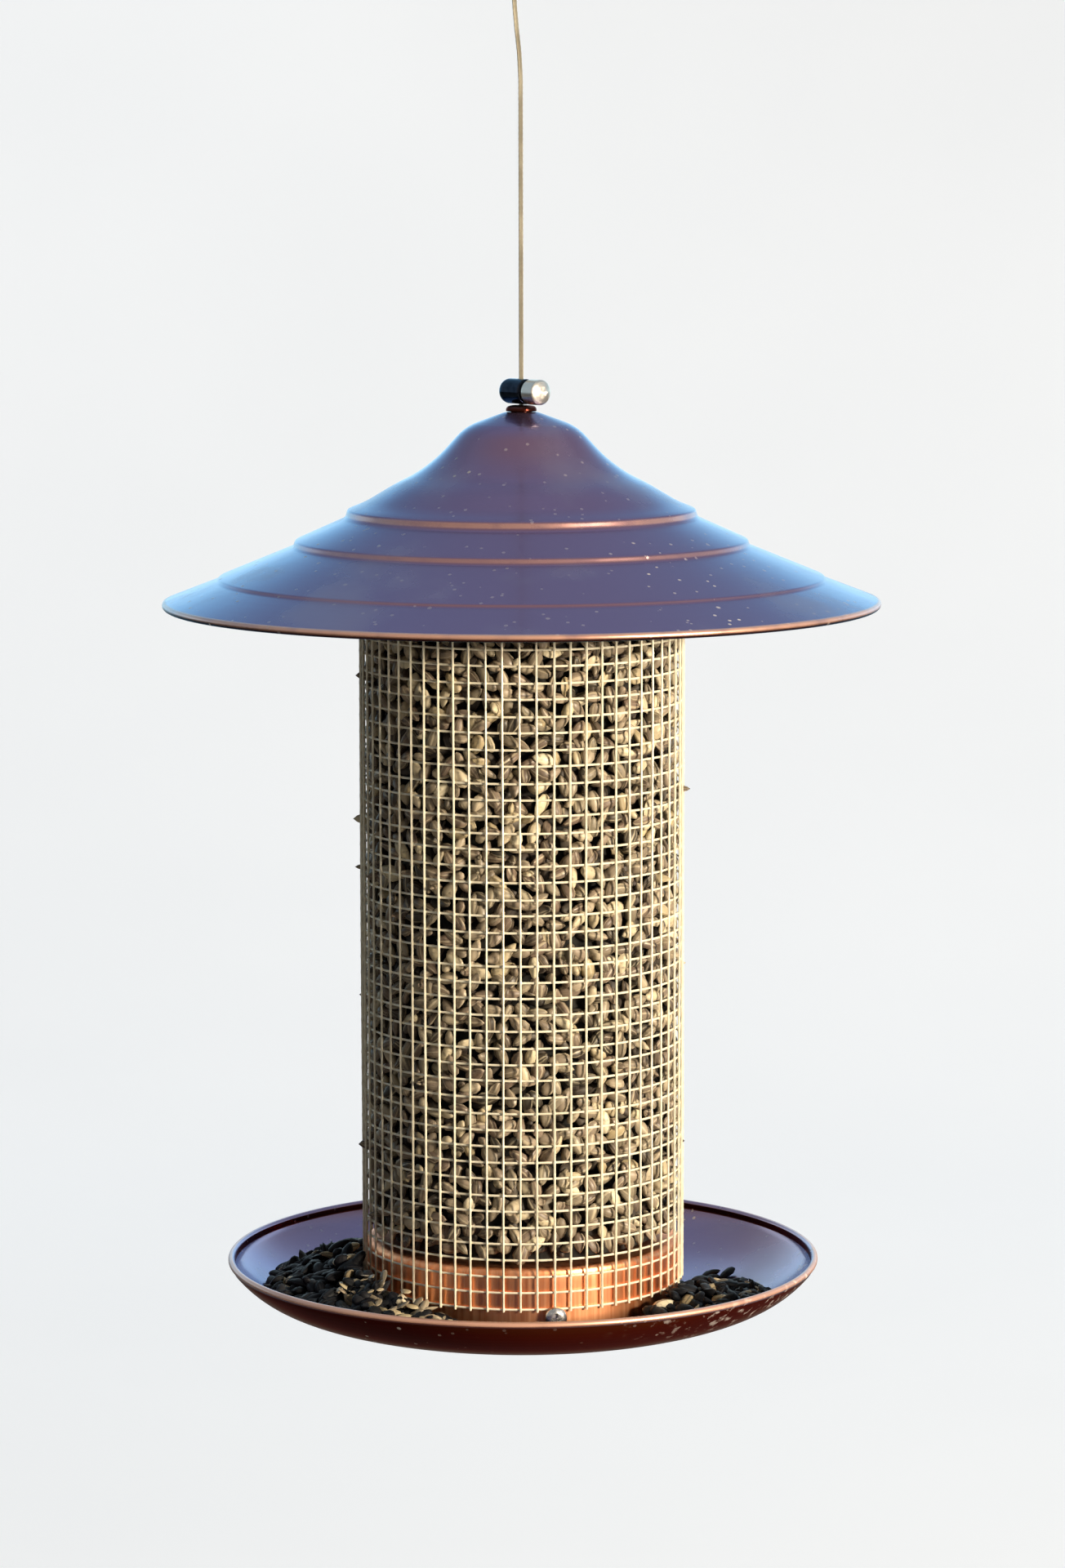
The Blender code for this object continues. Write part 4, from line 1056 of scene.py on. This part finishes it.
def cross_recess():
    """A plus-shaped wedge in the head's top: twelve corners at each height, half as big below."""
    arm, half = RECESS_ARM, RECESS_HALF
    plus = np.array([
        (arm, -half), (arm, half), (half, half), (half, arm), (-half, arm), (-half, half),
        (-arm, half), (-arm, -half), (-half, -half), (-half, -arm), (half, -arm), (half, -half),
    ])
    size = np.array([0.0, 1.15, 0.5, 0.0])
    height = HEAD_HEIGHT + np.array([0.3, 0.3, -RECESS_DEPTH, -RECESS_DEPTH])
    rings = size[:, None, None] * plus
    return np.concatenate([rings, np.broadcast_to(height[:, None, None], (4, 12, 1))], axis=-1)


screw_steel = plated_steel(
    "screw_plate", low=(0.50, 0.49, 0.47), high=(0.80, 0.79, 0.76), scale=500.0
)
for i in range(3):
    bearing = SCREW_TURN + math.tau * i / 3
    seat = at(SCREW_SEAT, bearing, SCREW_HEIGHT)
    screw_points = pointed(turned(finer(head_profile, 0.7), 48), bearing, seat)
    screw = skin(f"pan_head_screw_{i + 1}", screw_points, sharp=50.0)
    carve(screw, skin(f"recess_{i + 1}", pointed(cross_recess(), bearing, seat)))
    dress(screw, screw_steel, "bright_steel", "root", f"base_screw_{i + 1}")

# Tray. A disc of steel spun into a dish with an upright lip and a rolled bead, coated like the
# roof. Its middle is pressed up so that the cable's stop sits inside it.
TRAY_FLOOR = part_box("tray")[0].z / MM
TRAY_WALL, TRAY_BEAD = 1.0, 1.3
DISH_FROM, DISH_REACH = 63.0, 51.2
TRAY_RIM = DISH_FROM + DISH_REACH
DISH_DEPTH, TRAY_LIP = 21.0, 2.7
BOSS_RADIUS, BOSS_HEIGHT = 13.5, 13.0


def dish_rise(radius):
    """Height of the dish over its floor: 11 u + 10 u^5, with u the share of the way to the rim."""
    share = np.clip((radius - DISH_FROM) / DISH_REACH, 0.0, 1.0)
    return 11.0 * share + 10.0 * share**5


dish = np.linspace(DISH_FROM, TRAY_RIM, 26)
boss = eased(
    [
        (1.5, TRAY_FLOOR + BOSS_HEIGHT), (BOSS_RADIUS, TRAY_FLOOR + BOSS_HEIGHT),
        (BOSS_RADIUS + 6.0, TRAY_FLOOR), (DISH_FROM, TRAY_FLOOR),
    ],
    [0, 2.5, 3.0, 0],
)
underside = np.vstack([boss[:-1], np.stack([dish, TRAY_FLOOR + dish_rise(dish)], axis=1)])
lip_top = TRAY_FLOOR + DISH_DEPTH + TRAY_LIP
roll = np.radians(np.linspace(180.0, -55.0, 20))
bead_middle = np.array([TRAY_RIM + TRAY_BEAD - TRAY_WALL, lip_top])
bead = bead_middle + TRAY_BEAD * np.stack([np.cos(roll), np.sin(roll)], axis=1)
upper_side = underside[underside[:, 0] < TRAY_RIM - 1.5] + (0.0, TRAY_WALL)
lip_foot = (TRAY_RIM - TRAY_WALL, TRAY_FLOOR + DISH_DEPTH + 0.5)
tray_profile = np.vstack([upper_side, [lip_foot], bead, underside[::-1]])
tray = spun("spun_tray", tray_profile, 2.5, 160)

# Inside: the mauve level colour and blue edge tint are painted reflections of sky, the right front
# is paler as painted light, and the bead carries a painted highlight line.
tray_inside_painted_sky = copper_coat(
    "tray_inside_painted_sky", level=(0.26, 0.19, 0.33), steep=(0.30, 0.20, 0.30), under=(0.20, 0.07, 0.06),
    edge=(0.5, 0.75, 1.0), worn_highlit_bends=[(115.3, 1.7, 1.4)], dirt=0.15, splashed_and_lit=(0.9, -0.3),
)
dress(tray, tray_inside_painted_sky, "copper_bronze_coat", "root", "tray")
# Outside: a darker copy of the same coat, painted shade, paler to the right front as painted light
# and with a painted highlight line on the bead.
tray_outside_painted_shade = copper_coat(
    "tray_outside_painted_shade", level=(0.09, 0.02, 0.012), steep=(0.09, 0.02, 0.012),
    under=(0.05, 0.009, 0.004), edge=(0.5, 0.22, 0.15), worn_highlit_bends=[(115.6, 0.6, 0.8)], dirt=0.15,
    coat=0.05, splashed_and_lit=(0.8, -0.6),
)
tray.data.materials.append(tray_outside_painted_shade.material)
# Faces that look down below the lip take the copy in painted shade.
facing = np.empty(3 * len(tray.data.polygons))
tray.data.polygons.foreach_get("normal", facing)
middle = np.empty(3 * len(tray.data.polygons))
tray.data.polygons.foreach_get("center", middle)
outside = (facing[2::3] < 0.2) & (middle[2::3] < (lip_top + 0.6) * MM)
outside &= np.hypot(middle[::3], middle[1::3]) < (TRAY_RIM + 0.9) * MM
tray.data.polygons.foreach_set("material_index", outside.astype(np.int32))

# Spilled seed. Birds have thrown seed into the tray; it lies in a heap on the left and a lower one
# on the right front, with husks and chips along the rim. Each heap is a bed in painted shade under
# loose seed.
HEAP_FOOT, HEAP_REACH = 67.2, 31.0
LEFT_HEAP = (math.radians(-155.0), math.radians(-16.0))
RIGHT_HEAP = (math.radians(36.0), math.radians(96.0))
STRAYS = [
    (26, -34, 12, 70, 84), (20, 14, 40, 70, 96), (24, 96, 120, 69, 88), (26, -185, -152, 69, 90),
]
DISH_TOP = TRAY_FLOOR + TRAY_WALL


def heap_height(bearing_share, reach_share, peak):
    """Top of a heap: its crest against the tube falls to its toe as (reach share) to the 0.8."""
    fullness = 0.2 + 0.8 * np.sin(math.pi * bearing_share) ** 0.7
    toe = HEAP_FOOT + HEAP_REACH * (0.35 + 0.65 * fullness)
    radius = HEAP_FOOT + (toe - HEAP_FOOT) * reach_share
    crest = DISH_TOP + peak * fullness
    floor_at = DISH_TOP + dish_rise(radius)
    foot = DISH_TOP + dish_rise(toe) + 1.0
    return radius, np.maximum(crest + (foot - crest) * reach_share**0.8, floor_at + 1.2), floor_at


def seed_bed(first, last, peak):
    """The bed: at each bearing a loop of points over the heap's top and back along the tray."""
    bearing_share = np.linspace(0.0, 1.0, 40)[:, None]
    reach_share = np.concatenate([np.linspace(0.0, 1.0, 12), np.linspace(1.0, 0.0, 12)])[None, :]
    radius, top, floor_at = heap_height(bearing_share, reach_share, peak)
    under = np.arange(24)[None, :] >= 12
    height = np.where(under, floor_at + 0.3, np.maximum(top - 4.0, floor_at + 0.5))
    bearing = first + (last - first) * bearing_share
    grid = at(radius, bearing, height)
    ends = [grid[[k]].mean(axis=1, keepdims=True) + 0 * grid[[k]] for k in (0, -1)]
    return np.concatenate([ends[0], grid, ends[1]])


def rested(points):
    """Lifts each seed until none of its points is in the tray."""
    reach = np.linalg.norm(points[:, :, :2], axis=-1)
    lift = (DISH_TOP + 0.15 + dish_rise(reach) - points[:, :, 2]).max(axis=1)
    points[:, :, 2] += np.maximum(lift, 0.0)[:, None]
    return points


def heap_seeds(first, last, peak, count, layers, part=(0.0, 1.0), reach=(0.0, 1.0)):
    """Centres and flat sides of seeds in layers under a heap's top, or under a part of it."""
    share, reach_share = chance.uniform(0, 1, (2, count * layers))
    share = part[0] + (part[1] - part[0]) * share
    reach_share = reach[0] + (reach[1] - reach[0]) * reach_share
    layer = np.repeat(np.arange(layers), count)
    radius, top, _ = heap_height(share, reach_share**0.8, peak)
    bearing = first + (last - first) * share
    height = top + 1.0 - 3.2 * layer + chance.normal(0, 0.7, len(share))
    return at(radius + 1.5, bearing, height), at(0.25, bearing, 1.0)


# The spilled and stray seed is a near-black copy of the husk: painted shade.
painted_shade_husk = husk_finish(
    "painted_shade_husk", darkest=(0.004, 0.005, 0.007), middling=(0.011, 0.012, 0.014),
    stripe_colour=(0.032, 0.033, 0.038), sheen=0.36, gloss=0.11,
)
for side, ends, peak, count in [("left", LEFT_HEAP, 26.0, 360), ("right", RIGHT_HEAP, 16.0, 150)]:
    bed = skin(f"spilled_bed_{side}", seed_bed(*ends, peak))
    dress(bed, seed_dark, "sunflower_seed", "root", f"tray_seeds_{side}")
    centres, facing = heap_seeds(*ends, peak, count, layers=2)
    heaped = rested(husks(centres, facing, tilt=0.45, length=9.8, plumpness=0.36))
    heaped = seed_piece(f"spilled_seed_{side}", heaped, pale=0.012)
    dress(heaped, painted_shade_husk, "sunflower_seed", "root")


def lying(spread, length, plumpness):
    """Points of seeds flat on the dish. spread has (count, from, to, nearest, farthest) rows.

    The dish's normal at a radius is upwards less its slope, (11 + 50 u^4) / 51.2, outwards.
    """
    bearing = np.radians(np.concatenate([chance.uniform(a, b, n) for n, a, b, _, _ in spread]))
    radius = np.concatenate([chance.uniform(a, b, n) for n, _, _, a, b in spread])
    slope = (11.0 + 50.0 * ((radius - DISH_FROM) / DISH_REACH) ** 4) / DISH_REACH
    centres = at(radius, bearing, DISH_TOP + dish_rise(radius) + 1.2)
    return rested(husks(centres, at(-slope, bearing, 1.0), 0.10, length, plumpness))


strays = seed_piece("stray_seeds", lying(STRAYS, length=9.4, plumpness=0.32), pale=0.04)
dress(strays, painted_shade_husk, "sunflower_seed", "root")
centres, facing = heap_seeds(
    *LEFT_HEAP, peak=29.0, count=46, layers=1, part=(0.68, 0.97), reach=(0.0, 0.4)
)
chips = rested(husks(centres, facing, tilt=0.35, length=6.4, plumpness=0.18))
dress(seed_piece("pale_chips", chips, pale=1.0), painted_lit_husk, "sunflower_seed", "root")
